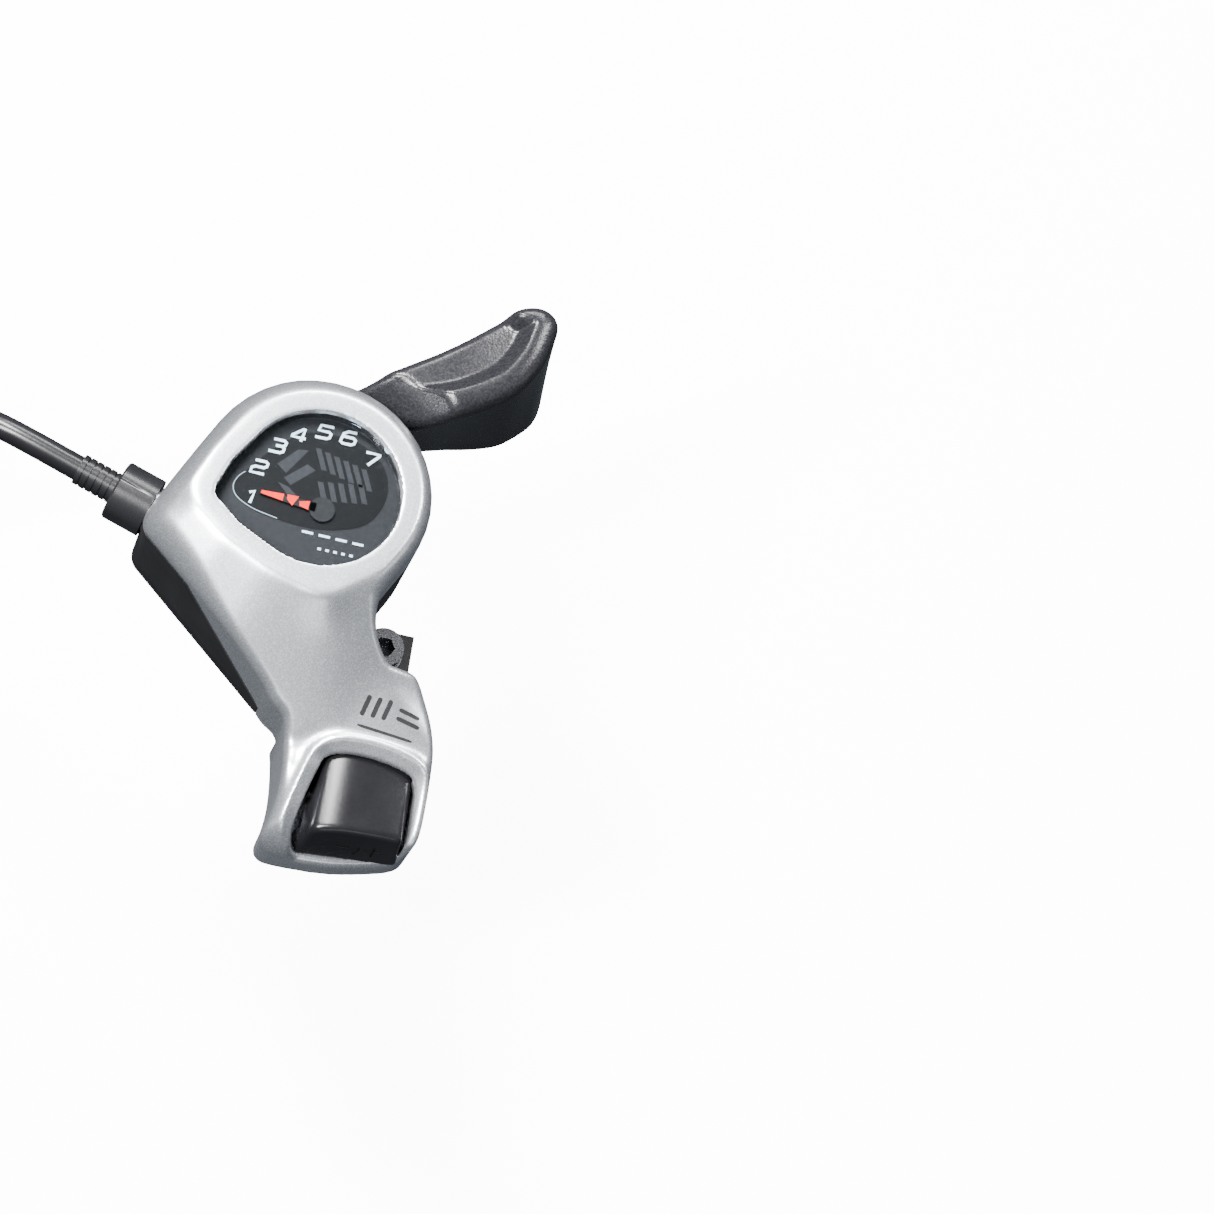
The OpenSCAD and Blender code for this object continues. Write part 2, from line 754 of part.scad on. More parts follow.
module needle_crank() {
    color("#2c2d30") translate([needle_c[0], needle_c[1], 0]) {
        translate([0, 0, crank_z + crank_t])
            cylinder(r = needle_shaft_r, h = needle_z - crank_z - crank_t);
        rotate([0, 0, crank_a]) translate([0, 0, crank_z]) difference() {
            union() {
                cylinder(r = 2.8, h = crank_t);
                translate([0, -2, 0]) cube([pin_reach - 1.2, 4, crank_t]);
                translate([pin_reach - 1.2, 0, 0]) cylinder(r = 2, h = crank_t);
            }
            translate([3.2, -pin_r - 0.3, -1]) cube([pin_reach - 4.4, 2 * pin_r + 0.6, 4]);
            translate([pin_reach - 1.2, 0, -1]) cylinder(r = pin_r + 0.3, h = 4);
        }
    }
}

module gear_needle() {
    color("orangered") translate([needle_c[0], needle_c[1], needle_z]) {
        cylinder(r = needle_shaft_r + 0.6, h = needle_t);
        rotate([0, 0, needle_a]) linear_extrude(needle_t)
            polygon([[0, -0.8], [needle_l, -0.3], [needle_l, 0.3], [0, 0.8]]);
    }
}

module holding_pawl() {
    tip = axle + (ratchet_r + 0.75) * [cos(pawl_a), sin(pawl_a)];
    color("slategray") difference() {
        translate([0, 0, pawl_z]) linear_extrude(pawl_t) {
            hull() {
                translate(pawl_c) circle(2.5);
                translate(tip) circle(0.5);
            }
            hull() {
                translate(pawl_c) circle(2);
                translate(tail_c) circle(tail_r);
            }
        }
        translate([pawl_c[0], pawl_c[1], 0]) cylinder(r = pawl_pin_r + run, h = overhang);
    }
}

module pawl_pin() {
    color("silver") translate([pawl_c[0], pawl_c[1], 0]) {
        translate([0, 0, floor_z]) cylinder(r = pawl_pin_r, h = pawl_z + pawl_t + 0.2 - floor_z);
        translate([0, 0, pawl_z + pawl_t + 0.15]) cylinder(r = 2.3, h = 0.7);
    }
}

// Wire spring that presses the pawl's tail, with one coil round a post of its own
module pawl_spring() {
    r = 0.3;
    z = floor_top + r + 0.1;
    color("silver") tube([
        [-21.6, 12, z], [-20.4, 9.6, z], [-18.8, 7.2, z], [-17.8, 5.6, z + 0.6],
        [-17, 4.6, z + 1.4], [-16.7, 4.2, z + 2.2], [-16.6, 4.1, pawl_z + 1.2]
    ], r, [0.6, 0.5, 0.62], 8);
}

module index_spring() {
    color("lightsteelblue") at_axle() rotate([0, 0, detent_a]) translate([0, 0, ratchet_z + 0.1])
        difference() {
            linear_extrude(1.9) polygon([
                [12.7, -6], [13.2, -6], [13.2, 12], [12.7, 12], [12.7, 1.2],
                [11.2, 0.2], [11.2, -0.3], [12.7, -0.7]
            ]);
            translate([10, 10, 1]) rotate([0, 90, 0]) cylinder(r = 0.7, h = 5);
        }
}

module index_screw() {
    color("dimgray") at_axle() rotate([0, 0, detent_a]) translate([12.7, 10, ratchet_z + 1.1])
        rotate([0, 90, 0]) {
            translate([0, 0, -0.5]) cylinder(r = 0.9, h = 0.5);
            cylinder(r = 0.7, h = 2.6);
        }
}

module release_button() {
    color("#141517") difference() {
        union() {
            translate([button_x0, button_y0 + 2.4, button_z])
                cube([button_w, button_y1 - button_y0 - 2.4, button_top - button_z - 1.6]);
            translate([button_x0, button_y0, 0]) intersection() {
                translate([0, 0, lip_top + 0.2]) cube([button_w, 13, button_top - lip_top - 0.2]);
                rotate([90, 0, 90]) linear_extrude(button_w) polygon([
                    [0, lip_top + 0.2], [2.4, button_top - 0.4], [4, button_top], [12, button_top],
                    [12, button_z], [button_skirt, button_z], [button_skirt, lip_top + 0.2]
                ]);
            }
        }
        translate([-2 - fit, button_y1 - 4, rod_z - fit]) cube([3.2 + 2 * fit, overhang, rod_t + 2 * fit]);
        translate([spring_x, spring_y0 - 0.1, button_z + spring_rise]) rotate([-90, 0, 0])
            cylinder(r = spring_wide + 0.15, h = overhang);
    }
}

// Slider that carries the button's push to the pawl's tail; its edge is a ramp
module release_rod() {
    color("slategray") translate([0, 0, rod_z]) linear_extrude(rod_t) polygon([
        [-2, button_y1 - 4], [1.2, button_y1 - 4], [1.2, -4.4], [-8, 1.5], [-10.5, 4.4],
        [-13.3, 4.4], [-14.8, -0.4], [-13.4, -1.8], [-6, -3.2], [-2, -5.5]
    ]);
}

// Close-wound return spring: rings of wire joined along one thin sleeve
module button_spring() {
    turns = 9;
    pitch = (spring_seat_y - 0.05 - spring_y0) / turns;
    color("silver") translate([spring_x, spring_y0, button_z + spring_rise]) rotate([-90, 0, 0])
        difference() {
            cylinder(r = spring_wide, h = turns * pitch);
            translate([0, 0, -1]) cylinder(r = spring_wide - 0.4, h = turns * pitch + 2);
            for (k = [0 : turns - 1]) translate([0, 0, (k + 0.6) * pitch]) difference() {
                cylinder(r = spring_wide + 1, h = 0.35);
                translate([0, 0, -1]) cylinder(r = spring_wide - 0.2, h = 3);
            }
        }
}

module barrel_adjuster() {
    color("#1a1b1d") difference() {
        union() {
            on_line(knob_u) cylinder(d = knob_d, h = knob_l - knob_bevel);
            on_line(knob_end - knob_bevel)
                cylinder(d1 = knob_d, d2 = knob_d - 2 * knob_bevel, h = knob_bevel);
            on_line(boss_u0 - 3) cylinder(r = thread_r - run, h = knob_u - boss_u0 + 3.2);
        }
        on_line(boss_u0 - 4) cylinder(r = wire_bore_r, h = overhang);
        on_line(seat_u) cylinder(d = nose_d + 2 * fit, h = overhang);
    }
}

module adjuster_spring() {
    color("gray") on_line(boss_u1 + 0.03) difference() {
        cylinder(r = thread_r + 1.2, h = 0.42);
        translate([0, 0, -1]) cylinder(r = thread_r + 0.2, h = 3);
    }
}

module inner_wire() {
    a0 = nipple_a;
    a1 = line_a + 90 - 360;
    arc = [
        for (i = [0 : 22]) let (a = a0 + (a1 - a0) * i / 22)
            [axle[0] + wire_r * cos(a), axle[1] + wire_r * sin(a), wire_z]
    ];
    straight = [for (u = [3, 8, 14, 20, seat_u - 0.05]) route([u, 0, 0])];
    color("silver") tube(concat(arc, straight), wire_d / 2, [0, 0, 1], 8);
}

module casing_nose() {
    color("#26282b") difference() {
        on_line(seat_u) cylinder(d = nose_d, h = nose_end - seat_u);
        on_line(seat_u - 1) cylinder(d = casing_d, h = overhang);
        for (k = [0 : 4]) on_line(knob_end + 0.7 + 1.15 * k) difference() {
            cylinder(d = nose_d + 1, h = 0.3);
            translate([0, 0, -1]) cylinder(d = nose_d - 0.4, h = 3);
        }
    }
}

module cable_casing() {
    color("#17181a") {
        tube([for (p = lead) route(p)], casing_d / 2, side_dir, 10);
        tube([for (p = tail_lead) route(p)], casing_d / 2, side_dir, 10);
    }
}

module on_coil() {
    translate(route([coil_u, 0, -coil_drop])) rotate([0, 0, line_a]) rotate([90, 0, 0]) children();
}

module casing_coil() {
    color("#17181a") on_coil() rotate_extrude() translate([coil_r, 0]) offset(r = 1.2)
        square([coil_depth - 2.4, coil_w - 2.4], center = true);
}

module coil_tie() {
    color("#2a2b2d") on_coil() translate([0, coil_r, 0]) difference() {
        cube([4, coil_depth + 2.4, coil_w + 2.4], center = true);
        cube([6, coil_depth + 0.3, coil_w], center = true);
    }
}

module end_ferrule() {
    p = route(tail_lead[len(tail_lead) - 1]);
    color("silver") translate([p[0], p[1], p[2] - ferrule_l + 3]) difference() {
        cylinder(d = casing_d + 1.1, h = ferrule_l);
        translate([0, 0, ferrule_l - 3]) cylinder(d = casing_d, h = 4);
        translate([0, 0, -1]) cylinder(r = wire_bore_r, h = ferrule_l);
    }
}

top_cover();
window_lens();
dial_plate();
base_housing();
bottom_cover();
port_plug();
cover_screws();
base_screws();
cover_cap_screw();
clamp_ring();
clamp_screw();
clamp_nut();
clamp_washer();
main_axle();
axle_nut();
axle_washer();
axle_clip();
thumb_lever();
lever_plate();
ratchet_wheel();
cable_spool();
needle_pin();
cable_nipple();
return_spring();
needle_crank();
gear_needle();
holding_pawl();
pawl_pin();
pawl_spring();
index_spring();
index_screw();
release_button();
release_rod();
button_spring();
barrel_adjuster();
adjuster_spring();
inner_wire();
casing_nose();
cable_casing();
casing_coil();
coil_tie();
end_ferrule();
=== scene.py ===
"""Looks of a bicycle thumb shifter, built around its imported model.

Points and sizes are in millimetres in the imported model's frame until a mesh or curve is made from them.
"""

import math

import bpy
import numpy as np
from mathutils import Matrix, Vector


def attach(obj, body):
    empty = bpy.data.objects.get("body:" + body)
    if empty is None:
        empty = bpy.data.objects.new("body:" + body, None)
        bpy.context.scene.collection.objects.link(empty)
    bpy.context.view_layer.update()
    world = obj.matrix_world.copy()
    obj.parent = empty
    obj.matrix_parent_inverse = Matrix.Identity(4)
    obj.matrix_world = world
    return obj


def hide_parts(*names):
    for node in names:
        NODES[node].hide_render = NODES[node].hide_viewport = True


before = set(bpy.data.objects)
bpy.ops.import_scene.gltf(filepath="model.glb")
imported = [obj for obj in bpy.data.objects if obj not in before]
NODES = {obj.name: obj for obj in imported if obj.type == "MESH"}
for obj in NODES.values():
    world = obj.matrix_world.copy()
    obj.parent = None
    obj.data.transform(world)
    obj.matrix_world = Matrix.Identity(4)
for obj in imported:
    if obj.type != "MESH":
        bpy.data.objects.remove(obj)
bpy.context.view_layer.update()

MM = 0.001
CAMERA_DISTANCE = 620
AIM_RIGHT, AIM_UP = 41.1, 24


# ---------------------------------------------------------------- camera and cord

def set_camera():
    """The photograph's angle: above the rider's side, a little from the left and turned about the view."""
    azimuth, elevation, roll = math.radians(-20), math.radians(70), math.radians(12)
    back = Vector((
        math.sin(azimuth) * math.cos(elevation),
        -math.cos(azimuth) * math.cos(elevation),
        math.sin(elevation),
    ))
    level = (Vector((1, 0, 0)) - back * back.x).normalized()
    right = math.cos(roll) * level + math.sin(roll) * back.cross(level)
    up = back.cross(right)
    place, aim = back * CAMERA_DISTANCE, right * AIM_RIGHT + up * AIM_UP
    z = (place - aim).normalized()
    x = up.cross(z).normalized()
    y = z.cross(x)
    data = bpy.data.cameras.new("camera")
    data.sensor_width, data.lens = 36, 114.9
    data.clip_start, data.clip_end = 0.02, 20
    camera = bpy.data.objects.new("camera", data)
    bpy.context.scene.collection.objects.link(camera)
    camera.matrix_world = Matrix.Translation(place * MM) @ Matrix((x, y, z)).transposed().to_4x4()
    bpy.context.scene.camera = camera


AXLE = np.array([-16.0, 29.5])
LINE_A = math.radians(162)
LINE_DIR = np.array([math.cos(LINE_A), math.sin(LINE_A), 0])
LINE_OUT = np.array([-math.sin(LINE_A), math.cos(LINE_A), 0])
WIRE_Z = 24.4
SPOOL_R = 12.25
LINE_0 = np.array([*AXLE, WIRE_Z]) + SPOOL_R * LINE_OUT


def route(p):
    """Distance along the cable line, sideways shift and height above the wire, as a point of the frame."""
    return LINE_0 + LINE_DIR * p[0] + LINE_OUT * p[1] + np.array([0, 0, p[2]])


LEAD = [
    (33.9, 0, 0), (37, 0, 0), (42, 0, 0), (47, 0, -0.3), (52, 0, -1.6), (57, 0.1, -4.2), (61, 0.5, -8),
    (64.4, 1.2, -12.8), (66.6, 2.2, -18.4), (67.6, 3.4, -24.4), (67.9, 4.5, -31), (67.9, 5.4, -38),
    (67.9, 6, -45), (67.9, 6.2, -52),
]
TAIL = [
    (67.9, -6.2, -66.5), (67.4, -6.2, -68), (66.5, -6.2, -70), (65.8, -6.2, -71.8), (65.6, -6.2, -73),
    (65.6, -6.2, -75.9),
]
COIL_U, COIL_Z = 95, -60
# Radius and sideways place of each turn, in the order in which the casing is wound
TURNS = [
    (27.1, 6.15), (23, 6.15), (18.9, 6.15), (18.9, 2.05), (23, 2.05), (27.1, 2.05),
    (27.1, -2.05), (23, -2.05), (18.9, -2.05), (18.9, -6.15), (23, -6.15), (27.1, -6.15),
]
COIL_POINT_DEG = 15.0
COIL_SHIFT_DEG = 44


def coil_points():
    """Eleven turns through twelve places, each step from place to place a little earlier than the last."""
    turns = len(TURNS) - 1
    total = 360 * turns
    points = []
    for a in np.arange(0, total + 1, COIL_POINT_DEG):
        r, v = TURNS[0]
        for k in range(turns):
            start = (k + 1) * (total / (turns + 1)) - 360 / turns / 2
            t = min(max((a - start) / COIL_SHIFT_DEG, 0), 1)
            t = t * t * (3 - 2 * t)
            r += t * (TURNS[k + 1][0] - TURNS[k][0])
            v += t * (TURNS[k + 1][1] - TURNS[k][1])
        angle = math.radians(180 + a)
        points.append((COIL_U + r * math.cos(angle), v, COIL_Z + r * math.sin(angle)))
    return points


FLAT_SHARE = 0.12


def curve(name, lines, thick, flat=None):
    """A curve object of round section along each line; flat squeezes it along Z about that height."""
    data = bpy.data.curves.new(name, "CURVE")
    data.dimensions, data.bevel_depth, data.bevel_resolution = "3D", 1.0, 3
    data.use_fill_caps = True
    for line in lines:
        spline = data.splines.new("POLY")
        spline.points.add(len(line) - 1)
        for p, point in zip(spline.points, line):
            p.co = (point[0] * MM, point[1] * MM, point[2] * MM, 1)
            p.radius = thick / 2 * MM
        spline.use_smooth = True
    piece = bpy.data.objects.new(name, data)
    bpy.context.scene.collection.objects.link(piece)
    if flat is not None:
        piece.scale.z = FLAT_SHARE
        piece.location.z = flat * MM * (1 - FLAT_SHARE)
    return piece


def catmull(points, per=8, closed=False):
    """A smooth line through the points."""
    pts = [np.array(p, float) for p in points]
    n = len(pts)
    out = []
    for i in range(n if closed else n - 1):
        if closed:
            a, b, c, d = (pts[(i + k) % n] for k in (-1, 0, 1, 2))
        else:
            a, b, c, d = pts[max(i - 1, 0)], pts[i], pts[i + 1], pts[min(i + 2, n - 1)]
        for k in range(per):
            t = k / per
            out.append(0.5 * (2 * b + (c - a) * t + (2 * a - 5 * b + 4 * c - d) * t * t
                              + (3 * b - a - 3 * c + d) * t ** 3))
    if not closed:
        out.append(pts[-1])
    return out


def make_cord():
    """The casing from the adjuster's nose to its metal end, with the unseen length in a round coil."""
    lead = catmull(LEAD, 3)
    tail = catmull(TAIL, 2)
    line = [route(p) for p in [*lead, (67.9, 6.2, -56), *coil_points(), (67.9, -6.2, -63.5), *tail]]
    piece = curve("cable_jacket", [line], 4)
    piece.data.bevel_resolution = 5
    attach(piece, "housing")
    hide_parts("cable_casing", "casing_coil")
    return piece


# ---------------------------------------------------------------- materials

def material(name, color, rough, metallic=0.0, coat=0.0, specular=0.5):
    mat = bpy.data.materials.new(name)
    mat.use_nodes = True
    shader = mat.node_tree.nodes["Principled BSDF"]
    shader.inputs["Base Color"].default_value = (*color, 1)
    shader.inputs["Roughness"].default_value = rough
    shader.inputs["Metallic"].default_value = metallic
    shader.inputs["Coat Weight"].default_value = coat
    shader.inputs["Coat Roughness"].default_value = 0.12
    shader.inputs["Specular IOR Level"].default_value = specular
    return mat


def node(mat, kind, **values):
    made = mat.node_tree.nodes.new(kind)
    for key, value in values.items():
        if key in made.inputs:
            made.inputs[key].default_value = value
        else:
            setattr(made, key, value)
    return made


def link(mat, a, out, b, into):
    mat.node_tree.links.new(a.outputs[out], b.inputs[into])


def on_object(mat, texture):
    """Lays a texture out in the object's own coordinates."""
    link(mat, node(mat, "ShaderNodeTexCoord"), "Object", texture, "Vector")
    return texture


def noise(mat, scale, detail=2.0, rough=0.5):
    return on_object(mat, node(mat, "ShaderNodeTexNoise", Scale=scale, Detail=detail, Roughness=rough))


def cells(mat, scale, feature="F1"):
    made = node(mat, "ShaderNodeTexVoronoi", Scale=scale)
    made.feature = feature
    if feature == "SMOOTH_F1":
        made.inputs["Smoothness"].default_value = 0.4
    return on_object(mat, made)


def vary_color(mat, source, out, low, high, start=0.35, end=0.65):
    ramp = node(mat, "ShaderNodeValToRGB")
    ramp.color_ramp.elements[0].position, ramp.color_ramp.elements[1].position = start, end
    ramp.color_ramp.elements[0].color, ramp.color_ramp.elements[1].color = (*low, 1), (*high, 1)
    link(mat, source, out, ramp, "Fac")
    link(mat, ramp, "Color", mat.node_tree.nodes["Principled BSDF"], "Base Color")


def vary_rough(mat, source, out, low, high):
    span = node(mat, "ShaderNodeMapRange")
    span.inputs["From Min"].default_value, span.inputs["From Max"].default_value = 0.3, 0.7
    span.inputs["To Min"].default_value, span.inputs["To Max"].default_value = low, high
    link(mat, source, out, span, "Value")
    link(mat, span, "Result", mat.node_tree.nodes["Principled BSDF"], "Roughness")


def bump(mat, source, out, height_mm, strength, under=None):
    made = node(mat, "ShaderNodeBump", Strength=strength, Distance=height_mm * MM)
    link(mat, source, out, made, "Height")
    if under is not None:
        link(mat, under, "Normal", made, "Normal")
    link(mat, made, "Normal", mat.node_tree.nodes["Principled BSDF"], "Normal")
    return made


def silver_paint():
    """Silver lacquer: fine metal flakes under a thin clear coat, with a faint orange-peel."""
    mat = material("silver_lacquer", (0.62, 0.635, 0.655), 0.3, metallic=0.9, coat=0.3)
    flakes = cells(mat, 6500)
    vary_color(mat, flakes, "Color", (0.54, 0.565, 0.6), (0.86, 0.87, 0.88), 0.45, 1.0)
    vary_rough(mat, noise(mat, 5000, 2), "Fac", 0.29, 0.33)
    bump(mat, flakes, "Color", 0.004, 0.3)
    return mat


def moulded(name, color, rough, grain_mm, height_mm):
    """Moulded plastic with a fine eroded grain."""
    mat = material(name, color, rough, specular=0.3)
    light = tuple(min(c * 1.25 + 0.002, 1) for c in color)
    vary_color(mat, noise(mat, 120, 3), "Fac", color, light)
    vary_rough(mat, noise(mat, 1800, 2), "Fac", rough * 0.94, min(rough * 1.06, 1))
    bump(mat, noise(mat, 1000 / grain_mm, 4, 0.6), "Fac", height_mm, 0.5)
    return mat


def leather_grain():
    """The thumb lever's plastic: small raised pebbles, with gloss that varies from place to place."""
    mat = material("lever_grain", (0.014, 0.014, 0.016), 0.36, specular=0.3)
    pebbles = cells(mat, 2600, "SMOOTH_F1")
    vary_color(mat, noise(mat, 2500, 3), "Fac", (0.008, 0.008, 0.010), (0.016, 0.016, 0.018))
    vary_rough(mat, noise(mat, 3000, 3), "Fac", 0.19, 0.30)
    coarse = bump(mat, pebbles, "Distance", 0.045, 0.35)
    bump(mat, noise(mat, 6000, 3), "Fac", 0.008, 0.4, coarse)
    return mat


def metal(name, color, rough):
    """Plain or plated metal with faint handling marks."""
    mat = material(name, color, rough, metallic=1.0)
    light = tuple(min(c * 1.15, 1) for c in color)
    vary_color(mat, noise(mat, 400, 4), "Fac", color, light)
    vary_rough(mat, noise(mat, 4000, 3), "Fac", rough * 0.8, rough * 1.25)
    bump(mat, noise(mat, 2500, 3), "Fac", 0.008, 0.6)
    return mat


def printed(name, color, rough=0.45, painted_glow=0.0):
    """Printed ink or a printed plate; the last argument is painted light: an emission that makes the ink
    glow, though it is no lamp, so that it reads bright behind the window.
    """
    mat = material(name, color, rough, specular=0.15)
    light = tuple(min(c * 1.2, 1) for c in color)
    vary_color(mat, noise(mat, 1500, 2), "Fac", color, light)
    # Painted light: an emission that makes the printed colour glow.
    if painted_glow:
        shader = mat.node_tree.nodes["Principled BSDF"]
        shader.inputs["Emission Color"].default_value = (*color, 1)
        shader.inputs["Emission Strength"].default_value = painted_glow
    return mat


def clear_window():
    """A thin clear moulding: it passes light straight through and keeps its gloss."""
    mat = bpy.data.materials.new("clear_window")
    mat.use_nodes = True
    tree = mat.node_tree
    tree.nodes.remove(tree.nodes["Principled BSDF"])
    out = tree.nodes["Material Output"]
    through = node(mat, "ShaderNodeBsdfTransparent")
    through.inputs["Color"].default_value = (0.93, 0.95, 0.96, 1)
    gloss = node(mat, "ShaderNodeBsdfGlossy", Roughness=0.06)
    edge = node(mat, "ShaderNodeFresnel", IOR=1.46)
    mix = node(mat, "ShaderNodeMixShader")
    link(mat, edge, "Fac", mix, "Fac")
    tree.links.new(through.outputs[0], mix.inputs[1])
    tree.links.new(gloss.outputs[0], mix.inputs[2])
    ripple = node(mat, "ShaderNodeBump", Strength=0.15, Distance=0.02 * MM)
    link(mat, noise(mat, 180, 2), "Fac", ripple, "Height")
    link(mat, ripple, "Normal", gloss, "Normal")
    link(mat, mix, "Shader", out, "Surface")
    return mat


# ---------------------------------------------------------------- meshes from fields

SHARP_ANGLE = math.radians(38)


def mesh(name, vertices, faces, smooth=True):
    data = bpy.data.meshes.new(name)
    points = [tuple(float(x) * MM for x in v) for v in vertices]
    data.from_pydata(points, [], [tuple(map(int, f)) for f in faces])
    data.update()
    if smooth:
        data.shade_smooth()
        data.set_sharp_from_angle(angle=SHARP_ANGLE)
    piece = bpy.data.objects.new(name, data)
    bpy.context.scene.collection.objects.link(piece)
    return piece


def polygon_distance(points, x, y):
    """Signed distance to a closed outline, negative inside."""
    pts = np.array([p[:2] for p in points], float)
    best = np.full(np.broadcast(x, y).shape, 1e9)
    inside = np.zeros(best.shape, bool)
    for a, b in zip(pts, np.roll(pts, -1, axis=0)):
        best = np.minimum(best, segment_distance(a, b, x, y))
        at_y = (b[0] - a[0]) * (y - a[1]) / (b[1] - a[1] + 1e-12) + a[0]
        inside ^= ((a[1] > y) != (b[1] > y)) & (x < at_y)
    return np.where(inside, -best, best)


def segment_distance(a, b, x, y):
    d = np.array(b, float) - np.array(a, float)
    t = np.clip(((x - a[0]) * d[0] + (y - a[1]) * d[1]) / max(float(d @ d), 1e-9), 0, 1)
    return np.hypot(x - a[0] - t * d[0], y - a[1] - t * d[1])


def line_distance(points, x, y):
    best = None
    for a, b in zip(points, points[1:]):
        d = segment_distance(a, b, x, y)
        best = d if best is None else np.minimum(best, d)
    return best


def hull_of(circles, per=40):
    """Outline of the convex hull of circles given as (x, y, r)."""
    pts = sorted({
        (round(x + r * math.cos(a), 5), round(y + r * math.sin(a), 5))
        for x, y, r in circles for a in np.linspace(0, 2 * math.pi, per, endpoint=False)
    })

    def half(seq):
        out = []
        for p in seq:
            while len(out) > 1 and ((out[-1][0] - out[-2][0]) * (p[1] - out[-2][1])
                                    - (out[-1][1] - out[-2][1]) * (p[0] - out[-2][0])) <= 0:
                out.pop()
            out.append(p)
        return out[:-1]

    return half(pts) + half(pts[::-1])


def smooth_min(a, b, k):
    h = np.maximum(k - np.abs(a - b), 0) / k
    return np.minimum(a, b) - h * h * k / 4


def smooth_max(a, b, k):
    return -smooth_min(-a, -b, k)


def round_max(a, b, r):
    """Both at once, with an edge rounded to radius r."""
    return np.minimum(np.maximum(a, b), -r) + np.hypot(np.maximum(a + r, 0), np.maximum(b + r, 0))


def step(x, low, high):
    t = np.clip((x - low) / (high - low), 0, 1)
    return t * t * (3 - 2 * t)


def softplus(x, k):
    return np.where(x > 20 * k, x, k * np.log1p(np.exp(np.clip(x / k, -60, 20))))


def grid(low, high, size):
    axes = [np.arange(a, b + size, size) for a, b in zip(low, high)]
    return axes[0][:, None, None], axes[1][None, :, None], axes[2][None, None, :]


def sample(field, at):
    """Trilinear value and gradient of the field at places given in cells."""
    limit = np.array(field.shape) - 2
    i = np.clip(np.floor(at).astype(int), 0, limit)
    f = at - i
    value, grad = 0, np.zeros_like(at)
    for dx in (0, 1):
        for dy in (0, 1):
            for dz in (0, 1):
                c = field[i[:, 0] + dx, i[:, 1] + dy, i[:, 2] + dz]
                wx, wy, wz = (f[:, n] if d else 1 - f[:, n] for n, d in enumerate((dx, dy, dz)))
                value = value + c * wx * wy * wz
                grad[:, 0] += (1 if dx else -1) * c * wy * wz
                grad[:, 1] += (1 if dy else -1) * c * wx * wz
                grad[:, 2] += (1 if dz else -1) * c * wx * wy
    return value, grad


DRAW_STEPS = 3
DRAW_MOST = 0.4


def surface(name, field, axes, size):
    """Surface nets: one vertex in each cell that the surface crosses, then drawn onto it."""
    inside = field < 0
    shape = np.array(field.shape) - 1
    total, count = np.zeros((*shape, 3)), np.zeros(tuple(shape))
    crossings = []
    for axis in range(3):
        first = [slice(None)] * 3
        second = [slice(None)] * 3
        first[axis], second[axis] = slice(0, -1), slice(1, None)
        f0, f1 = field[tuple(first)], field[tuple(second)]
        i, j, k = np.nonzero(inside[tuple(first)] != inside[tuple(second)])
        t = f0[i, j, k] / (f0[i, j, k] - f1[i, j, k])
        at = np.stack([i, j, k], 1)
        place = at.astype(float)
        place[:, axis] += t
        others = [a for a in range(3) if a != axis]
        ok = np.all([(at[:, a] > 0) & (at[:, a] < shape[a]) for a in others], axis=0)
        at, place, flip = at[ok], place[ok], inside[tuple(first)][i, j, k][ok]
        ring = []
        for du, dv in ((1, 1), (0, 1), (0, 0), (1, 0)):
            cell = at.copy()
            cell[:, others[0]] -= du
            cell[:, others[1]] -= dv
            index = tuple(cell.T)
            np.add.at(total, index, place)
            np.add.at(count, index, 1)
            ring.append(np.ravel_multi_index(index, tuple(shape)))
        ring = np.stack(ring, 1)
        if axis == 1:
            flip = ~flip
        ring[~flip] = ring[~flip][:, ::-1]
        crossings.append(ring)
    used = np.flatnonzero(count.ravel())
    number = np.full(count.size, -1)
    number[used] = np.arange(len(used))
    points = total.reshape(-1, 3)[used] / count.ravel()[used][:, None]
    for _ in range(DRAW_STEPS):
        value, grad = sample(field, points)
        move = -(value / np.maximum((grad ** 2).sum(1), 1e-6))[:, None] * grad
        points = points + np.clip(move, -DRAW_MOST, DRAW_MOST)
    low = np.array([a.ravel()[0] for a in axes])
    return mesh(name, points * size + low, number[np.concatenate(crossings)])


# ---------------------------------------------------------------- top cover

def window_outline(grow):
    """The window: a round with a blunt tip, its sides a little fuller than straight."""
    circles = [(-16, 29, 12.7), (-23.2, 26.95, 7.7), (-29.9, 25.1, 2.0)]
    return [np.array(p) for p in hull_of([(x, y, r + grow) for x, y, r in circles], 84)]


OPENING = catmull([
    (-7.3, -10.6), (-6.6, -8.9), (-4.8, -7.8), (-1.2, -7.4), (3.2, -7.8), (6.6, -8.8), (7.9, -10.6),
    (8.3, -14), (8.5, -17.6), (7.9, -19.6), (5.4, -20.4), (0.5, -21.2), (-4.5, -21.6), (-7.9, -21.4),
    (-9.1, -20.2), (-8.9, -17.3), (-8.1, -13.6),
], 5, closed=True)
NECK = catmull([
    (-5.5, 14.3), (-2.7, 9.4), (-0.4, 6.7), (1.8, 6.4), (4.2, 6.3), (5.6, 5.3), (7.1, 2.9), (8.6, -0.3),
    (9.8, -4.8), (10.1, -10), (10.2, -16.5), (9.6, -18.9), (8.0, -20.2), (4.5, -21.3), (-1.1, -22.5),
    (-6.4, -22.9), (-11.2, -22.9), (-13.0, -22.2), (-13.5, -20.7), (-12.9, -17.9), (-12.6, -14.1),
    (-13.0, -9), (-13.9, -4.6), (-16.3, 0.2), (-12, 10),
], 4, closed=True)
# A point on each of the neck's long edges, and the direction across it out of the cover
NECK_LINE = (np.array([-22.5, 13.2]), np.array([-0.782, -0.625]))
CREASE = (np.array([-4.3, 8.8]), np.array([0.738, 0.675]))


BEZEL_Z = 36.95
RIM_AT, RIM_HIGH = 1.8, 0.9
FRONT_Z = 13.3


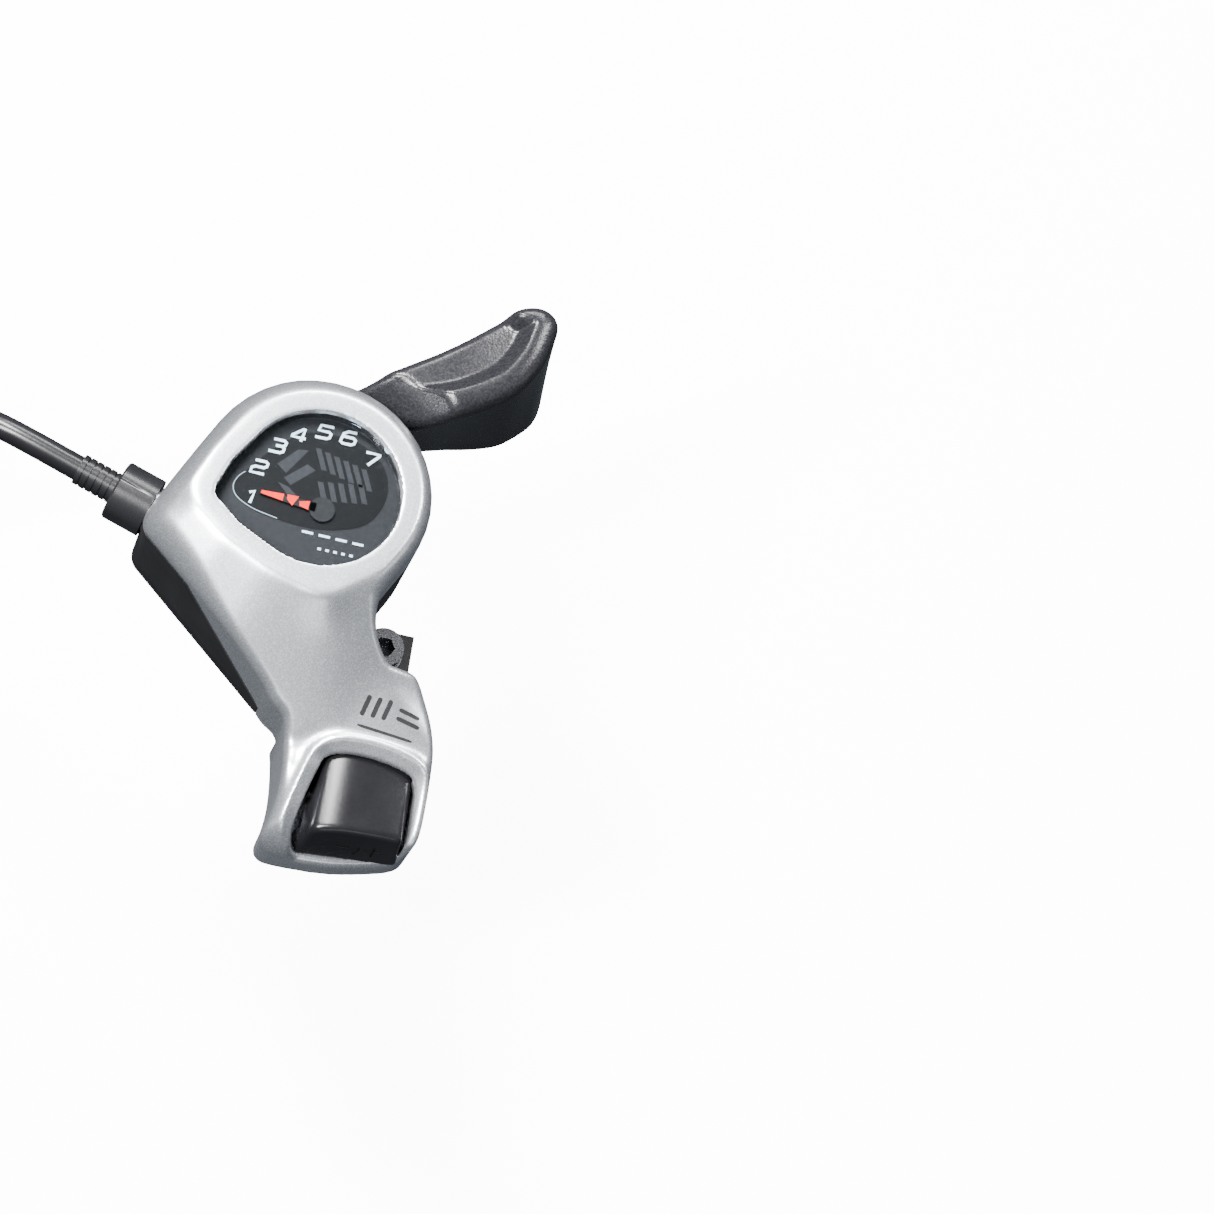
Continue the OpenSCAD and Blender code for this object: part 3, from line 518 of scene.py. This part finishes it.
def crest(y):
    """Height of the cover's middle line along Y."""
    at = [-23.4, -22.2, -20.4, -17, -12, -4.4, 4, 12, 17, 30, 50]
    up = [14.6, 16.6, 19.2, 20.9, 22.4, 24.7, 28.4, 32.0, 32.9, 32.4, 31.0]
    places = np.arange(-26, 52, 0.25)
    kernel = np.hanning(17)
    smooth = np.convolve(np.pad(np.interp(places, at, up), 8, mode="edge"), kernel / kernel.sum(), "valid")
    return np.interp(y, places, smooth)


def cover_plan(x, y):
    """Signed distance to the cover's outline seen from above."""
    head = polygon_distance(hull_of([(-16.5, 30, 18.3), (-37.6, 20.6, 3.5), (-14.8, 0.4, 3)]), x, y)
    neck = polygon_distance(NECK, x, y)
    return smooth_min(head, neck, 2.4)


def cover_top(x, y, plan):
    """Height of the cover's outer surface, and the distances to the window and to the button's opening."""
    window = polygon_distance(window_outline(0), x, y)
    wide = 3.4 + 1.4 * np.exp(-((x + 12.5) ** 2 + (y - 12.6) ** 2) / 14)
    bezel = BEZEL_Z - 0.02 * np.maximum(window, 0) - 0.66 * softplus(window - wide, 0.32)
    left = (x - NECK_LINE[0][0]) * NECK_LINE[1][0] + (y - NECK_LINE[0][1]) * NECK_LINE[1][1] + 1.6
    fade = step(y, -11, 0)
    round_left = (0.058 * np.maximum(left + 1.5, 0) ** 2 - 0.010 * np.maximum(left - 5, 0) ** 2) * fade
    right = (x - CREASE[0][0]) * CREASE[1][0] + (y - CREASE[0][1]) * CREASE[1][1]
    chamfer = 0.62 * softplus(right, 1.1) * step(y, -9, 3) * step(y, 21, 16)
    neck = crest(y) - round_left - chamfer
    hole = polygon_distance(OPENING, x, y)
    near = step(y, -2, -6)
    outer = RIM_HIGH * np.exp(-(((hole - RIM_AT) / 1.1) ** 2))
    neck = neck + np.where(hole > RIM_AT, outer, RIM_HIGH - 0.75 * (RIM_AT - hole)) * near
    front = step(y, -18.8, -20.6) * (1 - step(np.abs(x - 0.2), 7.2, 9.6))
    neck = neck * (1 - front) + FRONT_Z * front
    return smooth_max(bezel, neck, 0.9), window, hole


WALL = 1.8


def make_cover(size):
    """The silver moulding: outer form, hollow inside, window seat and opening for the button."""
    low, high = (-42.2, -24.4, 6.8), (12.2, 49.6, 38.2)
    x, y, z = grid(low, high, size)
    x2, y2 = x[:, :, 0], y[:, :, 0]
    plan = cover_plan(x2, y2)
    top, window, hole = cover_top(x2, y2, plan)
    edge = (1.3 + 1.1 * step(y2, 6, 20) + 0.8 * step(x2, -22, -34))[:, :, None]
    p, t, w, o = plan[:, :, None], top[:, :, None], window[:, :, None], hole[:, :, None]
    body = round_max(p, (z - t) * 0.86, edge)
    side = polygon_distance([
        (-60, 8.0), (-60, 60), (60, 60), (60, 28.55), (12, 28.55), (-1, 17.05), (-1, 14.2), (-4.9, 14.2),
        (-4.9, 8.0),
    ], y[0, :, :], z[0, :, :] + 0 * y[0, :, :])[None, :, :]
    body = round_max(body, side, 0.25)
    inner = np.maximum(p + WALL, (z - (np.minimum(t, 36.6) - 2.1)) * 0.9)
    slide = np.maximum(np.maximum(np.abs(x - 0.6) - 7.6, np.abs(y + 5.3) - 3.9), z - 22.45)
    inner = np.minimum(inner, slide)
    boss = np.maximum(w - 2.1, 32.1 - z)
    shelf = np.maximum(np.maximum(p + 0.5, np.abs(z - 12.1) - 1.1), y + 11.8)
    inner = np.maximum(np.maximum(inner, -boss), -shelf)
    field = np.maximum(body, -inner)
    field = np.maximum(field, -np.maximum(w, 30 - z))
    field = np.maximum(field, -np.maximum(w - 1.0, z - 34.95))
    field = round_max(field, -np.maximum(o, 13.2 - z), 0.2)
    piece = surface("cover_shell", field, (x, y, z), size)
    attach(piece, "housing")
    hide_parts("top_cover")
    return piece


def cover_print(mat):
    """Plain bars printed on the neck's right side: three slanted, two short, and a long one below."""
    bars = [[(-2.6 + 1.7 * k, -1.9), (-1.9 + 1.7 * k, 1.1)] for k in range(3)]
    bars += [[(2.8, -1.2), (6.6, -1.9)], [(3.0, 0.1), (6.4, -0.5)], [(-2.9, -3.3), (5.9, -4.1)]]
    widths = [0.75, 0.75, 0.75, 0.6, 0.6, 0.4]
    vertices, faces = [], []
    for bar, wide in zip(bars, widths):
        a, b = np.array(bar[0]), np.array(bar[1])
        across = np.array([a[1] - b[1], b[0] - a[0]]) / float(np.hypot(*(b - a))) * wide / 2
        steps = 12
        at = len(vertices)
        for i in range(steps + 1):
            middle = a + (b - a) * i / steps
            narrow = 1 - 0.45 * (i in (0, steps))
            for p in (middle - across * narrow, middle + across * narrow):
                x, y = np.array([[p[0]]]), np.array([[p[1]]])
                top = float(cover_top(x, y, cover_plan(x, y))[0][0, 0])
                vertices += [(p[0], p[1], top + 0.05), (p[0], p[1], top - 0.15)]
        for i in range(steps):
            q = at + 4 * i
            faces += [(q, q + 4, q + 6, q + 2), (q + 1, q + 3, q + 7, q + 5), (q, q + 1, q + 5, q + 4),
                      (q + 2, q + 6, q + 7, q + 3)]
        faces += [(at, at + 2, at + 3, at + 1), (at + 4 * steps, at + 4 * steps + 1, at + 4 * steps + 3,
                                                 at + 4 * steps + 2)]
    piece = mesh("cover_print", vertices, faces, smooth=False)
    piece.data.materials.append(mat)
    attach(piece, "housing")


# ---------------------------------------------------------------- thumb lever

PADDLE_FRONT = [
    (-17.0, 49.4), (-13.5, 50.0), (-10.3, 51.5), (-5.8, 54.6), (-1, 58.0), (3.5, 61.7), (8.3, 65.8),
    (11.2, 67.8), (13.8, 68.4),
]
PADDLE_TOP = [
    (15.9, 67.7), (16.9, 65.9), (16.6, 62.9), (15.4, 58.4), (12.5, 53.5), (8.2, 49.9), (3.3, 47.1),
    (-1.5, 45.5), (-6, 45.4), (-10, 46.0), (-14.5, 47.4),
]
PADDLE_FOOT = [
    (16.6, 67.6), (18.3, 66.0), (18.9, 63), (18.9, 60), (18.4, 57.4), (17.0, 55.1), (13.3, 51.7), (9.3, 50),
    (4.3, 48.7), (0.5, 47.6), (-4, 47), (-10, 46.8), (-14.5, 47.6),
]


def make_paddle(size):
    """The lever's plastic: a dished top with a raised outer edge, widening downwards to its foot."""
    low, high = (-20, 43.5, 14), (19.6, 69.6, 36)
    x, y, z = grid(low, high, size)
    x2, y2 = x[:, :, 0], y[:, :, 0]
    above = polygon_distance(catmull([*PADDLE_FRONT, *PADDLE_TOP], 6, closed=True), x2, y2)[:, :, None]
    below = polygon_distance(catmull([*PADDLE_FRONT, *PADDLE_FOOT], 6, closed=True), x2, y2)[:, :, None]
    edge = line_distance(catmull([(12.2, 69.4), (14.2, 69.0), *PADDLE_TOP[:-2]], 6), x2, y2)
    from_axle = np.hypot(x2 - AXLE[0], y2 - AXLE[1])
    dish = 2.3 * step(edge, 3.6, 6.4) * step(x2, -13, -6)
    swell = 0.8 * step(x2, 2, 14) - 0.085 * np.maximum(3.6 - edge, 0) ** 2
    top = 34.9 + swell - dish - 0.7 * step(x2, -2, -12) - 0.05 * np.maximum(edge - 6.4, 0)
    top = smooth_min(top, 28.8 + 1.15 * (from_axle - 21.6), 1.2)
    down = np.clip((33 - z) / 18, 0, 1)
    body = round_max(above * (1 - down) + below * down, (z - top[:, :, None]) * 0.95, 1.5)
    body = round_max(body, 15.0 - z, 0.8)
    field = np.maximum(body, 19.7 - from_axle[:, :, None])
    piece = surface("thumb_paddle", field, (x, y, z), size)
    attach(piece, "lever")
    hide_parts("thumb_lever")
    return piece


# ---------------------------------------------------------------- release button

BUTTON_TOP_EDGE_Z = 21.2


def button_front(x, z):
    """Y of the button's slanted front face."""
    return -19.35 + 0.075 * (x - 1) - 0.235 * np.maximum(BUTTON_TOP_EDGE_Z - z, 0)


def make_button(size):
    """The release button's cap, hollow underneath, with room for the rod."""
    low, high = (-9.8, -22.4, 12.6), (10.2, -5.6, 23.4)
    x, y, z = grid(low, high, size)
    down = np.maximum(BUTTON_TOP_EDGE_Z - z, 0)
    ahead = step(y, -9, -15)
    left = (-6.6 - 0.25 * down * ahead) - x
    right = x - (7.6 + 0.08 * down * ahead)
    front = button_front(x, z) - y
    back = y + 6.5
    top = 22.15 - 0.05 * (-8 - y) - 0.035 * np.maximum(-1.2 - x, 0) ** 2 - 0.010 * np.maximum(x + 1.2, 0) ** 2
    sides = round_max(round_max(left, front * 0.95, 1.5), round_max(right, back, 1.0), 0.9)
    body = round_max(sides, (z - top) * 0.98, 1.0)
    bottom = np.maximum(13.4 - z, np.minimum(16.2 - z, y + 18.2))
    body = round_max(body, bottom, 0.3)
    hollow = np.maximum(np.maximum(np.abs(x - 0.5) - 5.6, y + 7.6), np.maximum(-17.6 - y, z - 20.0))
    rod_room = np.maximum(np.maximum(np.abs(x + 0.4) - 1.8, -10.7 - y), np.abs(z - 19.4) - 1.1)
    field = np.maximum(np.maximum(body, -hollow), -rod_room)
    piece = surface("button_cap", field, (x, y, z), size)
    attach(piece, "button")
    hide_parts("release_button")
    return piece


def button_mark(ink):
    """Minus and plus on the button's slanted front."""
    def on_face(x, z):
        return (x, float(button_front(x, z)) - 0.02, z)

    lines = [
        [on_face(-1.9, 17.15), on_face(0.2, 17.0)],
        [on_face(2.5, 16.8), on_face(5.1, 16.6)],
        [on_face(3.9, 17.9), on_face(3.7, 15.5)],
        [on_face(0.9, 15.7), on_face(1.6, 17.4)],
    ]
    piece = curve("button_sign", lines, 0.34)
    piece.data.materials.append(ink)
    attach(piece, "button")


# ---------------------------------------------------------------- dial

def sheet_of(name, outlines, low, high, mat, body, slot):
    """Flat outlines as closed plates between two heights."""
    vertices, faces = [], []
    for outline in outlines:
        n, at = len(outline), len(vertices)
        vertices += [(p[0], p[1], low) for p in outline] + [(p[0], p[1], high) for p in outline]
        faces += [tuple(range(at + n - 1, at - 1, -1)), tuple(range(at + n, at + 2 * n))]
        faces += [(at + i, at + (i + 1) % n, at + n + (i + 1) % n, at + n + i) for i in range(n)]
    piece = mesh(name, vertices, faces, smooth=False)
    piece.data.materials.append(mat)
    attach(piece, body)
    return piece


# Strokes of each digit in a box one wide and one high
DIGITS = {
    1: [[(0.3, 0.82), (0.62, 1), (0.62, 0)]],
    2: [[(0.05, 1), (0.8, 1), (0.98, 0.88), (0.98, 0.62), (0.8, 0.5), (0.2, 0.5), (0.02, 0.38), (0.02, 0),
         (1, 0)]],
    3: [[(0.05, 1), (0.8, 1), (0.98, 0.88), (0.98, 0.64), (0.8, 0.52), (0.35, 0.52)],
        [(0.8, 0.52), (1, 0.4), (1, 0.12), (0.8, 0), (0, 0)]],
    4: [[(0.74, 0), (0.74, 1), (0.62, 1), (0.02, 0.4), (0.02, 0.28), (1, 0.28)]],
    5: [[(1, 1), (0.1, 1), (0.06, 0.56), (0.8, 0.56), (1, 0.44), (1, 0.12), (0.8, 0), (0, 0)]],
    6: [[(0.9, 1), (0.3, 1), (0.04, 0.78), (0, 0.14), (0.2, 0), (0.8, 0), (1, 0.12), (1, 0.42), (0.8, 0.56),
         (0.04, 0.56)]],
    7: [[(0, 1), (1, 1), (1, 0.86), (0.45, 0)]],
}
DIGITS_AT = {
    1: (-26.1, 26.3), 2: (-25.6, 31.4), 3: (-23.4, 35.5), 4: (-20.4, 38.1), 5: (-16.7, 39.5),
    6: (-12.8, 39.4), 7: (-8.9, 36.7),
}
DIGIT_WIDE, DIGIT_HIGH, DIGIT_SLANT = 2.2, 2.1, 0.45
# Heights of the dial's layers, from its grey ground up to its prints
ZONE_Z, FIELD_Z, GRAPHIC_Z = (33.41, 33.44), (33.45, 33.48), (33.49, 33.51)
OUTLINE_Z, PRINT_Z = 33.5, 33.53


def dial_lines(name, lines, thick, height, mat):
    """Flat strokes printed on the dial."""
    piece = curve(name, [[(p[0], p[1], height) for p in line] for line in lines], thick, flat=height)
    piece.data.materials.append(mat)
    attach(piece, "housing")


def make_dial():
    """Grey ground, black field, generic graphic, digits and plain bars in place of lettering."""
    zone = printed("dial_grey", (0.014, 0.014, 0.016), 0.5)
    black = printed("dial_black", (0.002, 0.002, 0.0025), 0.4)
    # The pale digits and bars glow a little by emission: painted light, so they read bright behind the
    # window.
    pale = printed("dial_pale", (0.60, 0.74, 0.84), 0.4, 0.3)
    hatch = printed("dial_hatch", (0.020, 0.020, 0.023), 0.5)
    line = printed("dial_line", (0.26, 0.32, 0.36), 0.4)
    sheet_of("dial_zone", [window_outline(0.8)], *ZONE_Z, zone, "housing", "dial")
    inner = catmull([
        (-29.0, 27.4), (-27.8, 29.9), (-24.6, 34.2), (-21.1, 37.6), (-17.6, 39.2), (-11.3, 39.0),
        (-7.2, 36.6), (-5.4, 32.5), (-6.2, 28.2), (-9.0, 25.1), (-15.6, 23.3), (-23.8, 23.9), (-27.9, 25.5),
    ], 8, closed=True)
    sheet_of("dial_field", [inner], *FIELD_Z, black, "housing", "dial")
    rim = [(-21.5, 23.75), (-25.4, 24.5), (-28.1, 25.8), (-29.0, 27.4), (-28.6, 29.0), (-27.6, 30.2)]
    dial_lines("dial_outline", [catmull(rim, 8)], 0.16, OUTLINE_Z, line)
    strokes = []
    for digit, (cx, cy) in DIGITS_AT.items():
        for stroke in DIGITS[digit]:
            strokes.append([
                (cx + DIGIT_WIDE * (u - 0.5) + DIGIT_SLANT * (v - 0.5), cy + DIGIT_HIGH * (v - 0.5))
                for u, v in stroke
            ])
    dial_lines("dial_digits", strokes, 0.5, PRINT_Z, pale)
    bars = []
    for k in range(4):
        x0, y0 = -17.4 + 2.65 * k, 22.55 - 0.05 * k
        bars.append([(x0, y0), (x0 + 1.75, y0)])
    for k in range(5):
        x0, y0 = -14.6 + 1.25 * k, 20.3
        bars.append([(x0, y0), (x0 + 0.55, y0)])
    dial_lines("dial_bars", bars, 0.42, PRINT_Z, pale)
    plates = []
    for k in range(6):
        a = (-17.6 + 1.5 * k, 36.6 - 0.35 * k)
        plates.append([a, (a[0] + 0.85, a[1]), (a[0] + 2.3, a[1] - 3.4), (a[0] + 1.45, a[1] - 3.4)])
    for k in range(5):
        a = (-16.4 + 1.55 * k, 31.2 + 0.25 * k)
        plates.append([(a[0], a[1]), (a[0] + 0.9, a[1]), (a[0] + 2.0, a[1] - 3.0), (a[0] + 1.1, a[1] - 3.0)])
    plates.append([(-23.0, 32.6), (-20.2, 35.7), (-18.6, 35.9), (-21.4, 31.4)])
    plates.append([(-21.6, 30.6), (-18.4, 33.6), (-17.0, 32.9), (-20.4, 29.6)])
    plates.append([(-22.4, 29.7), (-20.6, 29.2), (-18.6, 27.6), (-20.6, 27.9)])
    sheet_of("dial_graphic", plates, *GRAPHIC_Z, hatch, "housing", "dial")


def make_needle():
    """Red prints on a thin dark pointer that turns with its crank."""
    cx, cy, a = -15.0, 26.6, math.radians(176)

    def along(points):
        return [
            (cx + u * math.cos(a) - v * math.sin(a), cy + u * math.sin(a) + v * math.cos(a))
            for u, v in points
        ]

    dark = printed("needle_dark", (0.012, 0.012, 0.013), 0.5)
    # The red print glows by emission: painted light on the pointer.
    red = printed("needle_red", (0.75, 0.015, 0.004), 0.4, 0.7)
    round_turn = np.linspace(0, 2 * math.pi, 40, endpoint=False)
    disc = along([(2.0 * math.cos(t), 2.0 * math.sin(t)) for t in round_turn])
    pointer = along([(1, -0.75), (9.8, -0.3), (9.8, 0.3), (1, 0.75)])
    plate = sheet_of("needle_plate", [disc, pointer], 33.8, 34.0, dark, "needle", "needle_red")
    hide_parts("gear_needle")
    prints = [
        along([(6.2, -0.68), (9.7, -0.28), (9.7, 0.24), (6.2, 0.5)]),
        along([(3.9, -0.95), (5.7, -0.75), (5.6, 0.0), (4.6, 0.85)]),
        along([(2.1, -0.75), (3.7, -0.2), (3.5, 0.5), (2.1, 0.75)]),
    ]
    sheet_of("needle_print", prints, 34.0, 34.06, red, "needle", "needle_red")


def make_lens(mat):
    """The window: a closed clear plate with a slightly domed top and a flat underside."""
    rim = window_outline(-0.06)
    middle = np.array([-17.6, 28.6])
    crown, dome, lip, under = 36.55, 0.45, 0.25, 35.0
    shares = (1, 0.985, 0.95, 0.85, 0.7, 0.5, 0.3, 0.12)
    rings = [[middle + f * (p - middle) for p in rim] for f in shares]
    vertices, faces = [], []
    n = len(rim)
    for f, ring in zip(shares, rings):
        vertices += [(p[0], p[1], crown - dome * f ** 2 - lip * (f > 0.99)) for p in ring]
    base = len(vertices)
    vertices += [(p[0], p[1], under) for p in rings[0]]
    for k in range(len(rings) - 1):
        for i in range(n):
            j = (i + 1) % n
            faces.append((k * n + i, k * n + j, (k + 1) * n + j, (k + 1) * n + i))
    faces.append(tuple((len(rings) - 1) * n + i for i in range(n)))
    faces += [(base + i, base + (i + 1) % n, (i + 1) % n, i) for i in range(n)]
    faces.append(tuple(base + i for i in range(n - 1, -1, -1)))
    piece = mesh("window_glass", vertices, faces)
    piece.data.materials.append(mat)
    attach(piece, "housing")
    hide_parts("window_lens")


# ---------------------------------------------------------------- stage

LIGHTS_AIM = Vector((-0.015, 0.025, 0.025))


def area_light(name, direction, distance, wide, high, power):
    d = Vector(direction).normalized()
    data = bpy.data.lights.new(name, "AREA")
    data.shape, data.size, data.size_y, data.energy = "RECTANGLE", wide, high, power
    light = bpy.data.objects.new(name, data)
    bpy.context.scene.collection.objects.link(light)
    light.rotation_mode = "QUATERNION"
    light.rotation_quaternion = d.to_track_quat("Z", "Y")
    light.location = d * distance + LIGHTS_AIM


def set_stage():
    """A pale floor under the coil, a dim sky and soft lights clear of the window's mirror direction."""
    mat = material("floor", (0.86, 0.86, 0.86), 0.9, specular=0.1)
    shader = mat.node_tree.nodes["Principled BSDF"]
    shader.inputs["Emission Color"].default_value = (1, 1, 1, 1)
    shader.inputs["Emission Strength"].default_value = 9
    data = bpy.data.meshes.new("floor")
    half, height = 3.0, -0.0665
    corners = [(-half, -half, height), (half, -half, height), (half, half, height), (-half, half, height)]
    data.from_pydata(corners, [], [(0, 1, 2, 3)])
    floor = bpy.data.objects.new("floor", data)
    data.materials.append(mat)
    bpy.context.scene.collection.objects.link(floor)
    floor.visible_glossy = floor.visible_diffuse = floor.visible_transmission = False
    world = bpy.data.worlds.new("studio")
    world.use_nodes = True
    world.node_tree.nodes["Background"].inputs["Color"].default_value = (0.78, 0.88, 1.0, 1)
    world.node_tree.nodes["Background"].inputs["Strength"].default_value = 0.13
    bpy.context.scene.world = world
    area_light("key_left", (-0.36, 0.36, 0.86), 1.1, 0.22, 0.46, 54)
    area_light("key_far", (0.10, 0.74, 0.67), 1.1, 0.60, 0.18, 14)
    area_light("key_right", (0.56, 0.42, 0.72), 1.1, 0.12, 0.40, 8)
    area_light("left_strip", (-0.46, -0.30, 0.84), 1.1, 0.10, 0.40, 34)
    area_light("rider_fill", (0.10, -0.86, 0.50), 1.2, 0.7, 0.25, 1.6)
    area_light("right_fill", (0.92, -0.10, 0.38), 1.3, 0.4, 0.6, 0.8)


# ---------------------------------------------------------------- finishing the CAD nodes

def finish_nodes(mats):
    """Gives every carried-over CAD node its material."""
    kinds = {
        "base_black": ["base_housing", "bottom_cover", "port_plug"],
        "clamp_black": ["clamp_ring"],
        "screw_black": ["cover_screws", "cover_cap_screw", "clamp_screw", "clamp_nut", "clamp_washer",
                        "index_screw"],
        "zinc": ["base_screws", "main_axle", "axle_nut", "axle_washer", "axle_clip",
                 "pawl_pin", "needle_pin", "cable_nipple"],
        "pressed": ["lever_plate", "ratchet_wheel", "holding_pawl", "release_rod"],
        "nylon": ["cable_spool", "needle_crank"],
        "spring": ["return_spring", "pawl_spring", "index_spring", "button_spring", "adjuster_spring"],
        "dial_plate": ["dial_plate"],
        "knob": ["barrel_adjuster", "casing_nose"],
        "wire": ["inner_wire"],
        "tie": ["coil_tie"],
        "ferrule": ["end_ferrule"],
    }
    for kind, names in kinds.items():
        for name in names:
            piece = NODES[name]
            if not piece.material_slots:
                piece.data.materials.append(mats[kind])
            for slot in piece.material_slots:
                slot.material = mats[kind]


def main():
    set_camera()
    cord = make_cord()
    set_stage()
    cell = 0.33
    black = (0.008, 0.008, 0.009)
    mats = {
        "base_black": moulded("base_plastic", black, 0.55, 0.25, 0.02),
        "clamp_black": moulded("clamp_coat", black, 0.42, 0.35, 0.025),
        "screw_black": metal("screw_oxide", (0.2, 0.2, 0.21), 0.28),
        "zinc": metal("zinc_plate", (0.62, 0.62, 0.60), 0.32),
        "pressed": metal("pressed_steel", (0.50, 0.51, 0.53), 0.36),
        "nylon": moulded("nylon", (0.10, 0.10, 0.11), 0.5, 0.3, 0.01),
        "spring": metal("spring_steel", (0.45, 0.46, 0.5), 0.28),
        "dial_plate": printed("dial_back", (0.02, 0.02, 0.022)),
        "knob": moulded("knob_plastic", (0.007, 0.007, 0.008), 0.28, 0.22, 0.02),
        "wire": metal("drawn_wire", (0.62, 0.62, 0.62), 0.25),
        "tie": moulded("tie_nylon", (0.03, 0.03, 0.033), 0.45, 0.3, 0.015),
        "ferrule": metal("ferrule_alloy", (0.72, 0.72, 0.72), 0.25),
    }
    finish_nodes(mats)
    cord.data.materials.append(moulded("jacket", (0.006, 0.006, 0.007), 0.26, 0.6, 0.006))
    make_cover(cell).data.materials.append(silver_paint())
    make_paddle(cell).data.materials.append(leather_grain())
    button = make_button(cell * 0.75)
    button.data.materials.append(moulded("button_plastic", (0.006, 0.006, 0.007), 0.22, 0.3, 0.008))
    button_mark(printed("button_ink", (0.003, 0.003, 0.003), 0.6))
    cover_print(printed("print_black", (0.012, 0.012, 0.013), 0.5))
    make_dial()
    make_needle()
    make_lens(clear_window())


main()
